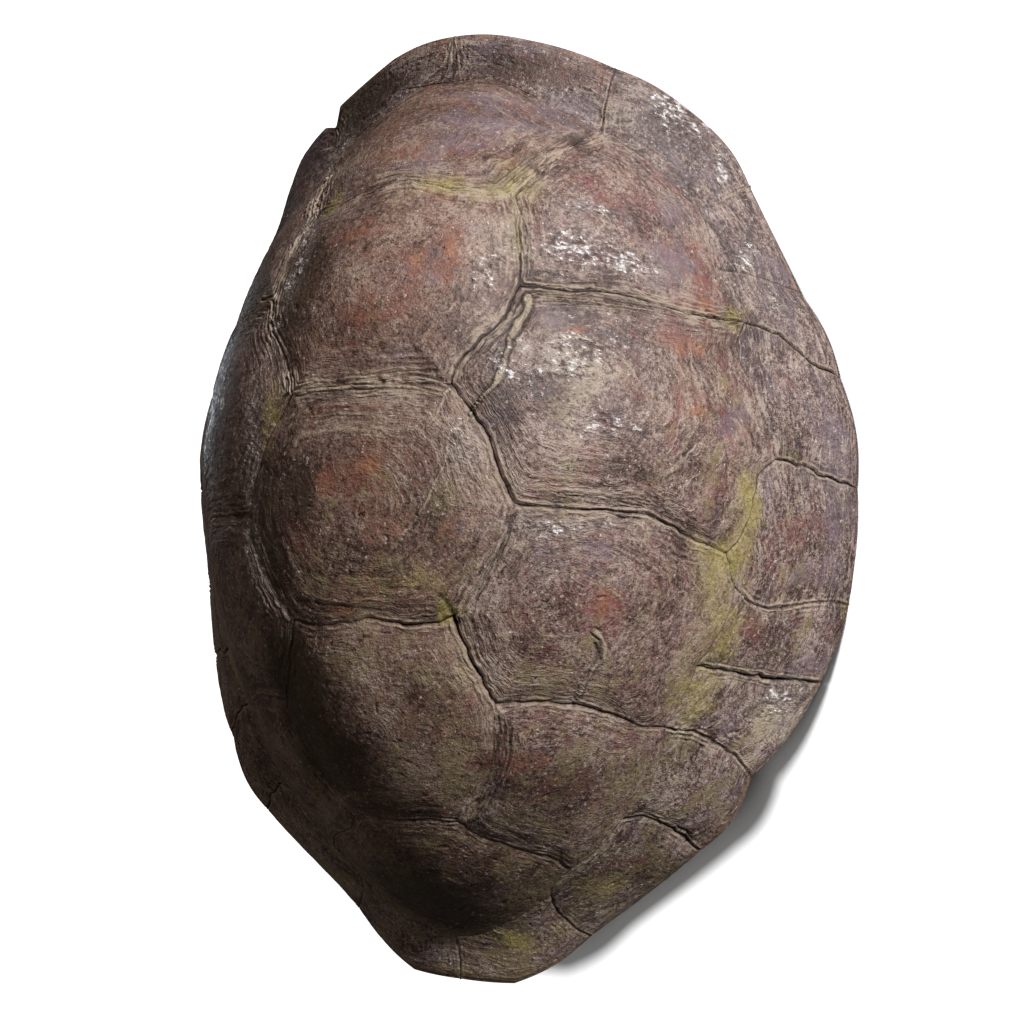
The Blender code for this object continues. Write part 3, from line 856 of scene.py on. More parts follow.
for sign, operation in {
    "add": "ADD", "sub": "SUBTRACT", "mul": "MULTIPLY", "truediv": "DIVIDE", "pow": "POWER",
}.items():
    setattr(Wire, f"__{sign}__", arithmetic(operation, False))
    setattr(Wire, f"__r{sign}__", arithmetic(operation, True))


def plug(tree, socket, value):
    """Links a wire to a socket, or sets the socket to a plain value."""
    if isinstance(value, Wire):
        tree.links.new(value.socket, socket)
    else:
        socket.default_value = value


def join(tree, *values):
    """A vector of these parts."""
    made = tree.nodes.new("ShaderNodeCombineXYZ")
    for socket, value in zip(made.inputs, values):
        plug(tree, socket, value)
    return Wire(tree, made.outputs[0])


def blend(low, high, factor):
    """A mix of two colours."""
    tree = factor.tree
    made = tree.nodes.new("ShaderNodeMix")
    made.data_type = "RGBA"
    plug(tree, made.inputs["Factor"], factor)
    for socket, value in ((made.inputs[6], low), (made.inputs[7], high)):
        plug(tree, socket, value if isinstance(value, Wire) else (*value, 1))
    return Wire(tree, made.outputs[2])


def group(name, kind, inputs, outputs):
    """(tree, its inputs as wires, a function that sets its outputs)."""
    tree = bpy.data.node_groups.new(name, kind)
    types = {"value": "NodeSocketFloat", "vector": "NodeSocketVector",
             "shape": "NodeSocketGeometry", "finish": "NodeSocketMaterial"}
    for key, (kind_of, start) in inputs.items():
        made = tree.interface.new_socket(key, in_out="INPUT", socket_type=types[kind_of])
        if start is not None:
            made.default_value = start
    for key, kind_of in outputs.items():
        tree.interface.new_socket(key, in_out="OUTPUT", socket_type=types[kind_of])
    entry, leave = tree.nodes.new("NodeGroupInput"), tree.nodes.new("NodeGroupOutput")
    wires = {key: Wire(tree, entry.outputs[key]) for key in inputs}

    def finish(results):
        for key, value in results.items():
            plug(tree, leave.inputs[key], value)

    return tree, wires, finish


def patches(place):
    """Broad uneven patches, the same ones in the relief and in the horn."""
    return place.noise(52, 3.0, 0.72, 29.0)


def seam_open(place):
    """How open a seam is here: now a hairline, now a gap full of soil."""
    return (patches(place) * 4.0 + 0.85).most(0.2).least(1.5)


def relief_tree():
    """The relief of a horn plate: its swell, sunken seams, ridges beside them, rings, strands, pits
    and lumps.
    """
    tree, given, finish = group("plate_relief", "GeometryNodeTree", {
        "Plate": ("shape", None),
        "Thickness": ("value", PLATE_THICKNESS), "Swell": ("value", PLATE_SWELL),
        "Ring Pitch": ("value", 0.0082), "Ring Height": ("value", 0.0005),
        "Ridge Pitch": ("value", 0.0041), "Ridge Height": ("value", 0.00105),
        "Streak Height": ("value", STREAK_HEIGHT), "Lump Height": ("value", 0.0018),
        "Pit Depth": ("value", 0.0008), "Horn": ("finish", None),
    }, {"Plate": "shape"})

    def own(name):
        made = tree.nodes.new("GeometryNodeInputNamedAttribute")
        made.data_type = "FLOAT_VECTOR"
        made.inputs["Name"].default_value = name
        return Wire(tree, made.outputs[0])

    out, crack = own("out"), own("crack")
    ring_at, part, lines_kept = own("growth").parts()
    to_seam, depth, ridges = own("seam").parts()
    to_rim = own("edge").parts()[0]
    here = Wire(tree, tree.nodes.new("GeometryNodeInputPosition").outputs[0])

    roll = 1 - to_rim.most(0.0).fading(0.004)
    body = (given["Thickness"] + given["Swell"] * (1 - part * part)) * roll
    lump = here.noise(28, 2.0, 0.5, 2.0) * 1.2 + here.noise(95, 2.0, 0.6, 5.0) * 0.6
    lump = lump * given["Lump Height"] * roll

    # The seam: a ragged slot in a shallow valley, with a worn lip, or a welt where it isn't sunk
    ragged = (here.noise(75, 2.0, 0.6, 3.0) * 3.0 + 1.0).most(0.3)
    slot = depth.most(0.0) * to_seam.fading(SLOT_REACH) * 0.36 * ragged * seam_open(here)
    valley = depth * to_seam.bell(VALLEY_REACH) * 0.55
    to_lip = to_seam + here.noise(60, 2.0, 0.6, 12.0) * 0.003 - SEAM_LIP_AT
    lip = to_lip.bell(SEAM_LIP_WIDTH) * depth.most(0.0).least(0.0022)
    lip = lip * (ragged.least(1.6) * 0.6 - 0.35).most(0.0)
    welt = (1 - depth * 2500.0).clamped()

    # Ridges and veins beside the seam, broken up and fading away from it
    turn = 2 * math.pi
    wander = to_seam + here.noise(30, 3.0, 0.6, 6.0) * 0.009
    crest = ((wander * turn / given["Ridge Pitch"] - (1 - welt) * 2.6).cos() * 0.5 + 0.5) ** 2.0
    vein = 1 - here.streaks(to_seam, 17, 230, 2.0, 21.0).size().step(0.0, 0.085)
    broken = (here.noise(130, 2.0, 0.6, 19.0) * 5.0 + 0.8).most(0.1).least(1.6)
    fading = to_seam.fading(RIDGE_REACH) * broken * to_seam.step(0.0003, 0.0016).most(welt)
    rising = (here.noise(24, 3.0, 0.6, 9.0) * 5.0 + 0.75).most(0.05).least(1.7)
    ridge = (crest * 0.6 + vein * 0.65) * ridges * fading * rising * given["Ridge Height"]

    # Growth rings, strands and pits
    slow = here.streaks(ring_at, 14, 30, 2.0, 7.0)
    phase = (ring_at + slow * 0.014) * turn / given["Ring Pitch"]
    strength = (here.streaks(ring_at, 18, 60, 1.0, 9.0) * 5.5 + 0.6).most(0.0) * lines_kept
    ring = ((phase.cos() * 0.5 + 0.5) ** 2.0 - 0.35) * strength * given["Ring Height"]
    ring = ring * to_seam.step(0.002, 0.012) * (part.step(0.3, 0.8) * 0.75 + 0.25)
    streak = here.streaks(ring_at, 35, 190, 1.5, 13.0) * given["Streak Height"] * 1.8
    pit = here.noise(150, 1.0, 0.5, 8.0).step(0.15, 0.24) * given["Pit Depth"]

    fine = (ridge + ring + (streak - pit) * to_seam.step(0.0, 0.0025)) * roll
    lift = body - slot - valley + lip + fine + lump + crack.parts()[2]
    moved = tree.nodes.new("GeometryNodeSetPosition")
    plug(tree, moved.inputs["Geometry"], given["Plate"])
    plug(tree, moved.inputs["Offset"], out.times(join(tree, lift, lift, lift)))
    kept = tree.nodes.new("GeometryNodeStoreNamedAttribute")
    kept.data_type, kept.domain = "FLOAT", "POINT"
    kept.inputs["Name"].default_value = "relief"
    tree.links.new(moved.outputs[0], kept.inputs["Geometry"])
    plug(tree, kept.inputs["Value"], (fine + lip + lump * 0.35) * 1000.0)
    real = tree.nodes.new("GeometryNodeRealizeInstances")
    tree.links.new(kept.outputs[0], real.inputs[0])
    coat = tree.nodes.new("GeometryNodeSetMaterial")
    tree.links.new(real.outputs[0], coat.inputs["Geometry"])
    plug(tree, coat.inputs["Material"], given["Horn"])
    finish({"Plate": Wire(tree, coat.outputs[0])})
    return tree


# ---------------------------------------------------------------------------------------------
# Materials


def grain_group():
    """Fine grain on any surface of the shell: mottling, specks, and a height for bumps."""
    tree, given, finish = group("grain", "ShaderNodeTree", {
        "Place": ("vector", None), "Patch Scale": ("value", 26.0), "Speck Scale": ("value", 420.0),
    }, {"Mottle": "value", "Speck": "value", "Height": "value"})
    place = given["Place"]
    broad = place.noise(given["Patch Scale"], 3.0, 0.55, 0.0)
    speck = place.noise(given["Speck Scale"], 2.0, 0.7, 4.0)
    fine = place.noise(given["Speck Scale"] * 0.42, 2.0, 0.6, 8.0)
    finish({
        "Mottle": broad + 0.5,
        "Speck": speck * 0.7 + fine * 0.7 + 0.5,
        "Height": speck * 0.5 + fine * 0.8 + 0.5,
    })
    return tree


def growth_group():
    """Streaks that follow a plate's growth rings: tone, pale and dark threads, and a height."""
    tree, given, finish = group("growth_lines", "ShaderNodeTree", {
        "Ring": ("value", 0.0), "Share": ("value", 1.0), "Clear": ("value", 0.7),
        "Place": ("vector", None),
    }, dict.fromkeys(("Kept", "Tone", "Pale Threads", "Dark Threads", "Height"), "value"))
    place, clear = given["Place"], given["Clear"]
    east, north, _ = place.parts()
    bend = place.noise(30, 2.0, 0.5, 1.0) * 0.016
    ring = given["Ring"] + bend + place.noise(120, 1.0, 0.5, 2.0) * 0.0024
    broad = place.streaks(ring, 12, 90, 3.0, 0.0)
    middle = place.streaks(ring, 36, 260, 2.0, 3.0)
    hair = place.streaks(ring, 105, 560, 2.0, 6.0)
    crossing = place.streaks(ring + east * 0.3 + north * 0.22, 90, 400, 2.0, 17.0)
    kept = given["Share"].step(0.2, 0.95) * clear + place.noise(19, 2.0, 0.6, 14.0) * 2.2
    kept = (kept + clear * 0.35 - 0.1).clamped()
    patchy = place.noise(40, 3.0, 0.6, 5.0)
    pale = 1 - place.streaks(ring, 22, 170, 1.5, 9.0).size().step(0.008, 0.034)
    dark = 1 - place.streaks(ring, 26, 210, 1.5, 12.0).size().step(0.003, 0.018)
    pale = pale * (patchy * 4.0 + 0.5 + hair * 2.5).clamped()
    dark = dark * (0.5 - patchy * 4.0 + hair * 2.5).clamped()
    tone = (broad * 1.2 + middle * 0.75) * kept
    tone = tone + (hair * 0.75 + crossing * 0.6) * (kept * 0.6 + 0.4) + 0.5
    height = (middle * 0.5 + pale * 0.2 - dark * 0.24) * kept
    height = height + (hair + crossing * 0.6) * (kept * 0.35 + 0.2) + 0.5
    finish({
        "Kept": kept, "Tone": tone, "Height": height,
        "Pale Threads": pale * kept, "Dark Threads": dark * kept,
    })
    return tree


def lichen_group():
    """Yellow-green lichen: a mask of crusts and specks where it may grow."""
    tree, given, finish = group("lichen", "ShaderNodeTree", {
        "Place": ("vector", None), "Amount": ("value", 0.0),
    }, {"Mask": "value", "Tone": "value"})
    place, amount = given["Place"], given["Amount"]
    crust = place.noise(60, 4.0, 0.65, 2.0) * 0.8 + place.noise(380, 2.0, 0.6, 7.0) * 0.8
    finish({
        "Mask": (crust + amount * 0.5 - 0.2).step(-0.18, 0.3) * amount.step(0.0, 0.35),
        "Tone": place.noise(330, 2.0, 0.6, 9.0) * 2.4 + 0.5,
    })
    return tree


def placed(tree, shared, values):
    """The outputs of a shared group, placed in a material with its own values."""
    made = tree.nodes.new("ShaderNodeGroup")
    made.node_tree = shared
    for key, value in values.items():
        plug(tree, made.inputs[key], value)
    return {socket.name: Wire(tree, socket) for socket in made.outputs}


def new_material(name):
    made = bpy.data.materials.new(name)
    made.use_nodes = True
    tree = made.node_tree
    return made, tree, tree.nodes["Principled BSDF"]


def own(tree, name):
    made = tree.nodes.new("ShaderNodeAttribute")
    made.attribute_name = name
    return made


def own_vector(tree, name):
    return Wire(tree, own(tree, name).outputs["Vector"])


def object_place(tree):
    """Where a point lies on the shell."""
    return Wire(tree, tree.nodes.new("ShaderNodeTexCoord").outputs["Object"])


def bump(tree, shader, height, distance, strength):
    made = tree.nodes.new("ShaderNodeBump")
    made.inputs["Distance"].default_value = distance
    made.inputs["Strength"].default_value = strength
    plug(tree, made.inputs["Height"], height)
    tree.links.new(made.outputs[0], shader.inputs["Normal"])


# Colours of the horn and of what lies on it
ORANGE = (0.44, 0.19, 0.095)
BLUISH = (0.225, 0.165, 0.2)
OLIVE = (0.33, 0.265, 0.14)
PALE_THREAD = (0.66, 0.54, 0.44)
DARK_THREAD = (0.05, 0.027, 0.02)
PIT = (0.035, 0.02, 0.015)
PAINTED_GLINT_SPECK = (0.8, 0.72, 0.66)
FLAKE = (0.54, 0.45, 0.34)
RUBBED = (0.46, 0.365, 0.285)
TROUGH = (0.05, 0.028, 0.021)
HOLLOW = (0.05, 0.027, 0.018)
DARKER_BESIDE_SEAMS = (0.05, 0.028, 0.018)
SEAM_LIP = (0.42, 0.33, 0.24)
DARK_STAIN_AND_PAINTED_SHADE = (0.034, 0.017, 0.012)
RAGGED_DARK = (0.075, 0.048, 0.03)
LICHEN_DEEP, LICHEN_BRIGHT = (0.24, 0.19, 0.05), (0.62, 0.52, 0.17)
CHALK_DULL, CHALK_WHITE = (0.32, 0.235, 0.16), (0.72, 0.59, 0.45)
PAINTED_CRACK_SHADE = (0.02, 0.012, 0.008)
SOIL = (0.016, 0.009, 0.006)
RIM_RUST = (0.24, 0.125, 0.07)
PAINTED_SHEEN = (0.5, 0.47, 0.46)
PAINTED_CRUST_SHADE = (0.07, 0.034, 0.034)
PAINTED_GLINT = (0.95, 0.93, 0.94)
PAINTED_SEAM_SHADE = (0.012, 0.007, 0.005)
# How far, in metres, these reach beside a seam or the rim
RUBBED_REACH = 0.010
DEEP_SEAM_REACH = 0.006
RIM_RUST_REACH = 0.003
SOIL_LEAST = 0.0002
# The left flank is dull but for its glints, which are glossy and also painted white. It begins
# between these distances from the midline.
FLANK_FROM, FLANK_TO = 0.16, 0.22
ROUGH_LEAST, ROUGH_MOST = 0.13, 0.95
HORN_GLOSS = 0.6


class HornSpot:
    """What a horn material knows of a spot on its plate."""

    def __init__(self, tree, shared):
        self.place = place = object_place(tree)
        self.red, self.blue, mossy = own_vector(tree, "stain").parts()
        # Pale marks partly paint light, dark marks partly paint shade, and sheen marks paint a pale
        # sheen and glints besides making the horn glossier
        self.pale, self.dark, self.gloss_and_painted_sheen = own_vector(tree, "wear_and_painted_light").parts()
        self.crack_pale, self.crack_dark, _ = own_vector(tree, "crack").parts()
        ring, share, clear = own_vector(tree, "growth").parts()
        self.to_seam, self.depth, self.ridges = own_vector(tree, "seam").parts()
        self.to_rim, self.skin, _ = own_vector(tree, "edge").parts()
        self.relief = Wire(tree, own(tree, "relief").outputs["Fac"])
        self.grain = placed(tree, shared["grain"], {
            "Place": place, "Patch Scale": 17.0, "Speck Scale": 760.0,
        })
        self.lines = placed(tree, shared["growth"], {
            "Ring": ring, "Share": share, "Clear": clear, "Place": place,
        })
        self.lichen = placed(tree, shared["lichen"], {"Place": place, "Amount": mossy})
        self.line_tone = self.lines["Tone"] - 0.5
        self.speck = self.grain["Speck"] - 0.5
        self.patch = patches(place)
        self.streaky = place.streaks(ring, 9, 45, 3.0, 11.0)
        self.east, self.north, _ = place.parts()
        self.near_deep_seams = self.to_seam.fading(DEEP_SEAM_REACH) * (self.depth * 200.0).clamped()
        # A crust, drawn out down the left flank: where sheen marks lie it is glossier, and painted
        # white as glints, painted highlights
        across = self.east.most(-0.17) * 0.6 + self.east * 0.07 + self.patch * 0.008
        slanted = (self.north + self.east) * 0.55
        spread = join(tree, self.north + self.streaky * 0.01, across, slanted)
        self.crust = spread.noise(265, 3.0, 0.65, 41.0) + self.patch * 0.45
        self.glint_gloss_and_paint = (self.crust + self.gloss_and_painted_sheen * 0.12 - 0.17).step(0.0, 0.09)
        self.glint_gloss_and_paint = self.glint_gloss_and_paint * (self.gloss_and_painted_sheen * 1.5).clamped()


def bare_horn(at, tones, contrast):
    """The horn's colour: dark, middle and light tones, mixed by grain, growth and wear, lighter
    where the relief stands up, and shifted by the pale and dark marks, which in places paint light
    and shade.
    """
    tone = (at.grain["Mottle"] - 0.5) * 1.9 + at.patch * 1.1 + at.line_tone * (1.5 * contrast)
    tone = tone + at.speck * (3.4 - at.lines["Kept"] * 0.7) * contrast
    tone = tone + at.relief * 0.28 + at.pale * 0.32 - at.dark * 0.22 + 0.5
    colour = blend(tones[0], tones[1], tone.step(-0.05, 0.5))
    return blend(colour, tones[2], tone.step(0.45, 1.1))


# Each of these lists coats, the lowest first: a colour and how much of it there is.


def stains(at, rust, violet):
    place, streaky = at.place, at.streaky
    warm = place.noise(32, 4.0, 0.85, 3.0) * 3.0 + streaky * 1.2 + at.line_tone * 0.5
    orange = place.noise(43, 3.0, 0.6, 12.0) * 1.5 + streaky * 0.5 + at.red * 0.2 - 0.2
    cool = place.noise(27, 4.0, 0.8, 17.0) * 2.5 - streaky * 1.2 - at.line_tone * 0.4
    olive = place.noise(29, 4.0, 0.85, 23.0) * 2.5 + streaky * 0.8 - at.north * 0.8 - 0.06
    return [
        (rust, (warm + at.red * 0.44 - 0.14).step(-0.15, 0.6) * 0.76),
        (ORANGE, orange.step(-0.1, 0.3) * (at.red + 0.25).clamped() * 0.66),
        (BLUISH, (cool + at.blue * 0.5 + violet - 0.18).step(-0.05, 0.5) * 0.66),
        (OLIVE, olive.step(0.0, 0.4) * 0.66),
    ]


def weathering(at, contrast):
    """Threads along the growth rings, then pits, pale specks painted as glints, and flakes."""
    pale_threads = at.lines["Pale Threads"] * (0.4 + at.pale * 0.3) * contrast
    dark_threads = at.lines["Dark Threads"] * 0.5 * contrast
    pit_and_glint_speck_noise = at.place.noise(330, 1.5, 0.6, 37.0) * (at.dark * 0.45 + (0.85 + 0.15 * contrast))
    return [
        (PALE_THREAD, pale_threads.clamped()),
        (DARK_THREAD, dark_threads.clamped()),
        (PIT, pit_and_glint_speck_noise.step(0.13, 0.2) * 0.85),
        (PAINTED_GLINT_SPECK, pit_and_glint_speck_noise.step(-0.16, -0.23) * 0.75),
        (FLAKE, (at.pale + at.speck * 2.0 + at.patch * 1.8 - 1.0).step(0.0, 0.2) * 0.5),
    ]


def beside_the_seams(at):
    """Beside the seams: rubbed paler ridges, darker troughs, a darker band along deep seams and a
    worn lip; and darker hollows in the relief.
    """
    beside = at.to_seam.fading(RUBBED_REACH) * at.ridges
    raised = (at.relief + at.lines["Tone"] - 0.5).step(0.1, 0.9)
    lip = (at.to_seam - SEAM_LIP_AT).bell(SEAM_LIP_WIDTH) * (at.depth * 450.0).clamped()
    return [
        (RUBBED, (raised * (0.12 + beside * 0.75)).clamped()),
        (TROUGH, ((at.relief + at.patch).step(0.25, -0.1) * beside * 0.6).clamped()),
        (HOLLOW, at.relief.step(-0.25, -1.0) * 0.4),
        (DARKER_BESIDE_SEAMS, at.near_deep_seams * 0.42),
        (SEAM_LIP, lip * (at.patch * 5.0 + 0.35).clamped() * 0.4),
    ]


def dirt_and_painted_shade(at, rim_rust):
    """Dark stains with painted shade, ragged dark patches where they are strongest, lichen, filled
    cracks with painted shade beside them, soil in the seams, and rust-brown rims.
    """
    ragged_dark = (at.dark + at.patch * 1.6 + at.speck * 0.9 - 0.98).step(-0.12, 0.16)
    moss = blend(LICHEN_DEEP, LICHEN_BRIGHT, at.lichen["Tone"])
    chalk = blend(CHALK_DULL, CHALK_WHITE, (at.grain["Speck"] * 2.0 - 0.5 + at.patch).clamped())
    soil_reach = at.place.noise(110, 3.0, 0.7, 33.0) * 0.0036 + at.depth.most(0.0) * 0.14
    soil_reach = (soil_reach * seam_open(at.place)).most(SOIL_LEAST)
    soil = at.to_seam.bell(soil_reach) * (at.depth * 600.0).clamped()
    rust = at.to_rim.most(0.0).fading(RIM_RUST_REACH) * rim_rust
    return [
        # Dark marks: dark stains, and in places painted shade
        (DARK_STAIN_AND_PAINTED_SHADE, (at.dark * 0.48).clamped()),
        (RAGGED_DARK, ragged_dark * 0.6),
        (moss, at.lichen["Mask"] * 0.68),
        (chalk, (at.crack_pale * (1.0 + at.speck * 2.0)).clamped() * 0.9),
        (PAINTED_CRACK_SHADE, (at.crack_dark * 0.8).clamped()),
        (SOIL, (soil * 0.92).clamped()),
        (RIM_RUST, rust * (at.patch * 4.0 + 0.4).clamped()),
    ]


def painted_sheen_and_glints(at):
    """Painted light: a pale painted sheen, painted shade in the hollows between the crusts, and
    white glints painted on them.
    """
    return [
        (PAINTED_SHEEN, (at.gloss_and_painted_sheen * 0.16).clamped()),
        (PAINTED_CRUST_SHADE, (at.crust * -1.0).step(0.0, 0.12) * at.gloss_and_painted_sheen.clamped() * 0.85),
        # Painted highlights: the glints are painted near white
        (PAINTED_GLINT, at.glint_gloss_and_paint * 0.94),
    ]


def horn_material(name, shared, tones, rust, violet, rim_rust, contrast):
    """Weathered horn. tones: dark, middle and light; violet: how much of it is bluish."""
    material, tree, shader = new_material(name)
    at = HornSpot(tree, shared)
    colour = bare_horn(at, tones, contrast)
    coats = stains(at, rust, violet) + weathering(at, contrast) + beside_the_seams(at)
    for coat, amount in coats + dirt_and_painted_shade(at, rim_rust) + painted_sheen_and_glints(at):
        colour = blend(colour, coat, amount)
    # Painted shade: the seam walls and the hidden backs are coloured near black
    colour = blend(PAINTED_SEAM_SHADE, colour, at.skin.clamped())
    plug(tree, shader.inputs["Base Color"], colour)

    flank = (at.east * -1.0).step(FLANK_FROM, FLANK_TO)
    shine = (at.gloss_and_painted_sheen + at.patch * 1.2 + at.streaky * 0.8).most(0.0)
    rough = 0.54 + flank * 0.3 - shine * 0.06 - at.glint_gloss_and_paint * (flank * 0.34 + 0.36)
    rough = rough + at.speck * 0.25 + at.near_deep_seams * 0.3 + at.lichen["Mask"] * 0.3
    plug(tree, shader.inputs["Roughness"], rough.most(ROUGH_LEAST).least(ROUGH_MOST))
    shader.inputs["Specular IOR Level"].default_value = HORN_GLOSS
    height = at.lines["Height"] + (at.grain["Height"] - 0.5) * 0.7
    bump(tree, shader, height + at.crust * (shine * 1.6 + 0.1), 0.0018, 1.0)
    return material


BONE_BROWN, BONE_IVORY = (0.17, 0.115, 0.07), (0.5, 0.4, 0.27)
BONE_STAIN = (0.2, 0.105, 0.055)
BONE_JOINT = (0.09, 0.055, 0.035)
BONE_IN_SEAMS = (0.016, 0.010, 0.007)


def bone_material(shared):
    """The bone vault: dark in the seams outside, old ivory inside."""
    material, tree, shader = new_material("old_bone")
    place = object_place(tree)
    grain = placed(tree, shared["grain"], {
        "Place": place, "Patch Scale": 16.0, "Speck Scale": 300.0,
    })
    joint = own_vector(tree, "growth").parts()[0].fading(1.0)
    outside = own_vector(tree, "edge").parts()[1]
    speck = grain["Speck"] - 0.5
    tone = (grain["Mottle"] - 0.5) * 1.6 + speck * 0.6 + 0.5
    colour = blend(BONE_BROWN, BONE_IVORY, tone.step(0.2, 0.8))
    stained = place.noise(12, 4.0, 0.6, 5.0).step(0.02, 0.2)
    for coat, amount in (
        (BONE_STAIN, stained * 0.5), (BONE_JOINT, joint * 0.8), (BONE_IN_SEAMS, outside),
    ):
        colour = blend(colour, coat, amount)
    plug(tree, shader.inputs["Base Color"], colour)
    plug(tree, shader.inputs["Roughness"], 0.62 + speck * 0.3)
    bump(tree, shader, grain["Height"] - joint * 0.5, 0.0009, 0.7)
    return material


# ---------------------------------------------------------------------------------------------
# Pieces


def cut_at_ground(mesh):
    """Cuts off what lies below the ground, and closes the cut with a flat face."""
    work = bmesh.new()
    work.from_mesh(mesh)
    parts = [*work.verts, *work.edges, *work.faces]
    cut = bmesh.ops.bisect_plane(
        work, geom=parts, plane_co=(0, 0, GROUND), plane_no=(0, 0, 1), clear_inner=True
    )
    edges = [e for e in cut["geom_cut"] if isinstance(e, bmesh.types.BMEdge)]
    made = bmesh.ops.holes_fill(work, edges=[e for e in edges if e.is_boundary], sides=0)
    bmesh.ops.triangulate(work, faces=made["faces"])
    work.to_mesh(mesh)
    work.free()


def in_scene(name, data):
    """A new object in the scene."""
    made = bpy.data.objects.new(name, data)
    bpy.context.scene.collection.objects.link(made)
    return made


def finish_piece(name, mesh):
    piece = in_scene(name, mesh)
    mesh.shade_smooth()
    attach(piece, "root")
    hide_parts("carapace")


def horn_plate(plate, ending, stretches, areola, swell, seed, tree, horn):
    """One plate. Its relief is Geometry Nodes, made a plain mesh here."""
    name = plate + ending
    lines_kept = LINES_KEPT.get(plate, EDGE_LINES_KEPT)
    mesh = plate_mesh(name, stretches, areola, lines_kept, seed)
    draft = in_scene(name + "_draft", mesh)
    relief = draft.modifiers.new("relief", "NODES")
    relief.node_group = tree
    sockets = {s.name: s.identifier for s in tree.interface.items_tree if s.in_out == "INPUT"}
    strands = STREAK_HEIGHTS.get(plate, STREAK_HEIGHT)
    for key, value in {"Swell": swell, "Streak Height": strands, "Horn": horn}.items():
        relief[sockets[key]] = value
    graph = bpy.context.evaluated_depsgraph_get()
    shaped = bpy.data.meshes.new_from_object(
        draft.evaluated_get(graph), preserve_all_data_layers=True, depsgraph=graph
    )
    bpy.data.objects.remove(draft)
    bpy.data.meshes.remove(mesh)
    shaped.name = name
    if plate in GROUND_PLATES:
        cut_at_ground(shaped)
    shaped.attributes.remove(shaped.attributes["out"])
    finish_piece(name, shaped)


def bone_vault(material):
    """The bone below the plates: its outside shows only in the seams, its inside from below."""
    pairs = list(zip(RIM, RIM[1:]))
    right = [rim_line(a, b, 1, VAULT_SPACING)[:-1] for a, b in pairs]
    left = [rim_line(a, b, -1, VAULT_SPACING)[::-1][:-1] for a, b in reversed(pairs)]
    rim = np.concatenate(right + left)[::-1]
    rim = rim - rim / np.linalg.norm(rim, axis=1, keepdims=True) * VAULT_INSET
    outer = np.linspace(0.02, 1, OUTER_ROWS)[:, None, None]
    inner = np.linspace(1, 0.012, INNER_ROWS)[:, None, None]
    point, normal = on_form(rim * outer)
    outside = point - normal * BONE_TOP

    under = rim * inner
    point, normal = on_form(under)
    share = np.broadcast_to(inner[..., 0], under.shape[:-1])
    across, ahead = np.abs(under[..., 0]), under[..., 1]
    bent = (ahead + 0.22 * across - 0.4 * across**2 * np.sign(ahead)) / RIB_SPACING
    to_rib = np.abs((bent + 0.5) % 1 - 0.5) * RIB_SPACING
    ribs = np.exp(-((to_rib / RIB_HALF_WIDTH) ** 2)) * smooth_step(across, 0.02, 0.07)
    ribs = ribs * (1 - smooth_step(share, 0.55, 0.8))
    zigzag = soft_noise(under, 0.004, 61) * 1.5 * MM
    to_joint = np.abs(np.abs(bent % 1 - 0.5) * RIB_SPACING + zigzag)
    lumps = soft_noise(under, 0.03, 62) * 0.8 * MM + soft_noise(under, 0.011, 63) * 0.3 * MM
    depth = wall_at(under, share) + ribs * RIB_HEIGHT + lumps * smooth_step(1 - share, 0.02, 0.1)
    whole = np.concatenate([outside, point - normal * depth[..., None]])

    growth, edge = np.zeros(whole.shape), np.zeros(whole.shape)
    growth[:OUTER_ROWS, :, 0] = OFF_JOINTS
    growth[OUTER_ROWS:, :, 0] = (to_joint / JOINT_HALF_WIDTH) ** 2
    edge[:OUTER_ROWS, :, 1] = 1
    mesh = ring_mesh("bone_vault", whole, {"growth": growth, "edge": edge})
    mesh.materials.append(material)
    cut_at_ground(mesh)
    finish_piece("bone_vault", mesh)


# The horn of each kind of plate: dark, middle and light tone, rust, how bluish it is, how rusted
# its rim is, and its contrast
HORNS = {
    "middle": (((0.068, 0.036, 0.026), (0.22, 0.13, 0.102), (0.44, 0.325, 0.262)),
               (0.26, 0.092, 0.062), 0.0, 0.0, 0.9),
    "side": (((0.064, 0.034, 0.028), (0.22, 0.134, 0.114), (0.47, 0.358, 0.302)),
             (0.245, 0.082, 0.078), 0.06, 0.0, 1.1),
    "edge": (((0.062, 0.034, 0.031), (0.213, 0.137, 0.123), (0.47, 0.37, 0.33)),
             (0.235, 0.085, 0.078), 0.12, 0.8, 1.55),
}
BOTH_SIDES = ((1, "_right"), (-1, "_left"))


def areola_of(plate, side):
    return np.array(AREOLAS[plate]) * (side * MM, MM) if plate in AREOLAS else None


def build_shell():
    shared = {"grain": grain_group(), "growth": growth_group(), "lichen": lichen_group()}
    horn = {
        kind: horn_material(f"horn_of_{kind}_plates", shared, *look) for kind, look in HORNS.items()
    }
    tree = relief_tree()
    jobs = [
        (plate, "", halves(names), areola_of(plate, 1), PLATE_SWELL, "middle")
        for plate, names in MIDDLE_PLATES.items()
    ] + [
        (plate, ending, loop(names, side), areola_of(plate, side), swell, kind)
        for plates, swell, kind in (
            (SIDE_PLATES, PLATE_SWELL, "side"), (EDGE_PLATES, EDGE_PLATE_SWELL, "edge"),
        )
        for plate, names in plates.items()
        for side, ending in BOTH_SIDES
    ]
    for seed, (plate, ending, stretches, areola, swell, kind) in enumerate(jobs, 1):
        horn_plate(plate, ending, stretches, areola, swell, seed, tree, horn[kind])
    bone_vault(bone_material(shared))


# ---------------------------------------------------------------------------------------------
# Stage

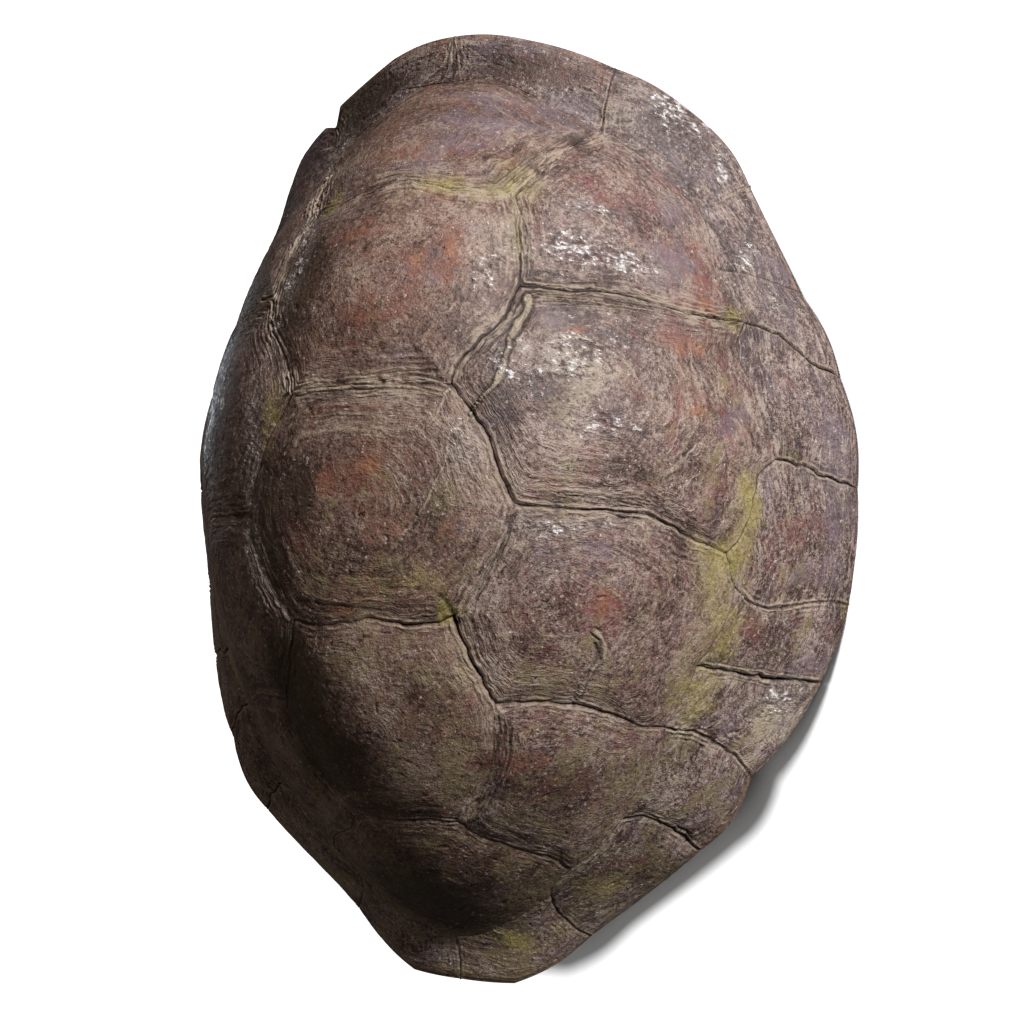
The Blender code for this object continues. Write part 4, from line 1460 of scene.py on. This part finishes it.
CAMERA_PLACE = (0.2975, 0.0092, 0.9319)
LEAN, TIP, ROLL = (math.radians(a) for a in (17.04, -0.73, 0.28))
LENS = 36
SHELL_MIDDLE = (0, 0, 0.12)
FLOOR_HALF = 4
FLOOR_GREY = (0.86, 0.86, 0.86, 1)
ROOM_COLOUR, ROOM_LIGHT = (1.0, 0.93, 0.86, 1), 0.04
# Azimuth, elevation, distance, size, power, colour and what it is turned to
KEY = ("key", 131, 24, 5.0, 1.2, 300, (1.0, 0.985, 0.97), SHELL_MIDDLE)
LEFT_FILL = ("left_fill", 262, 35, 3.0, 1.4, 7.5, (1.0, 0.86, 0.72), SHELL_MIDDLE)
LOW_COOL = ("low_cool", 257, -42, 1.5, 0.6, 1.6, (0.8, 0.9, 1.0), (-0.2, 0.1, 0.2))
FLOOR_KEY = ("floor_key", 218, 75, 3.2, 0.5, 150, (1, 1, 1), SHELL_MIDDLE)
FLOOR_FILL = ("floor_fill", 218, 89, 3.2, 0.9, 17, (1, 1, 1), SHELL_MIDDLE)


def turn_about(axis, angle):
    return np.array(Matrix.Rotation(angle, 3, axis))


def add_camera():
    turn = (turn_about("Z", ROLL) @ turn_about("X", -TIP) @ turn_about("Y", -LEAN)).T
    data = bpy.data.cameras.new("camera")
    data.lens = data.sensor_width = LENS
    camera = in_scene("camera", data)
    matrix = np.eye(4)
    matrix[:3, :3], matrix[:3, 3] = turn, CAMERA_PLACE
    camera.matrix_world = Matrix(matrix.tolist())
    bpy.context.scene.camera = camera


def add_light(floor, lights_floor, name, azimuth, elevation, distance, size, power, colour, target):
    """A round light that falls on the floor alone, or on everything but the floor."""
    data = bpy.data.lights.new(name, "AREA")
    data.shape, data.size = "DISK", size
    data.energy, data.color = power, colour
    light = in_scene(name, data)
    a, e = math.radians(azimuth), math.radians(elevation)
    back = np.array([math.sin(a) * math.cos(e), -math.cos(a) * math.cos(e), math.sin(e)])
    light.location = np.array(target) + back * distance
    light.rotation_mode = "QUATERNION"
    light.rotation_quaternion = Vector(-back).to_track_quat("-Z", "Y")
    lit = bpy.data.collections.new(name + "_on")
    lit.objects.link(floor)
    light.light_linking.receiver_collection = lit
    lit.collection_objects[0].light_linking.link_state = "INCLUDE" if lights_floor else "EXCLUDE"
    return light


def add_stage():
    h = FLOOR_HALF
    mesh = bpy.data.meshes.new("floor")
    mesh.from_pydata([(-h, -h, 0), (h, -h, 0), (h, h, 0), (-h, h, 0)], [], [(0, 1, 2, 3)])
    material, _, shader = new_material("pale_floor")
    shader.inputs["Base Color"].default_value = FLOOR_GREY
    shader.inputs["Roughness"].default_value = 0.9
    mesh.materials.append(material)
    floor = in_scene("floor", mesh)
    floor.visible_diffuse = floor.visible_glossy = False

    world = bpy.data.worlds.new("soft_room")
    world.use_nodes = True
    room = world.node_tree.nodes["Background"]
    room.inputs["Color"].default_value = ROOM_COLOUR
    room.inputs["Strength"].default_value = ROOM_LIGHT
    bpy.context.scene.world = world

    add_light(floor, False, *KEY)
    add_light(floor, False, *LEFT_FILL).visible_glossy = False
    low_cool = add_light(floor, False, *LOW_COOL)
    low_cool.visible_diffuse = False
    low_cool.light_linking.blocker_collection = low_cool.light_linking.receiver_collection
    add_light(floor, True, *FLOOR_KEY)
    add_light(floor, True, *FLOOR_FILL)
    bpy.context.scene.view_settings.view_transform = "Standard"


build_shell()
add_camera()
add_stage()
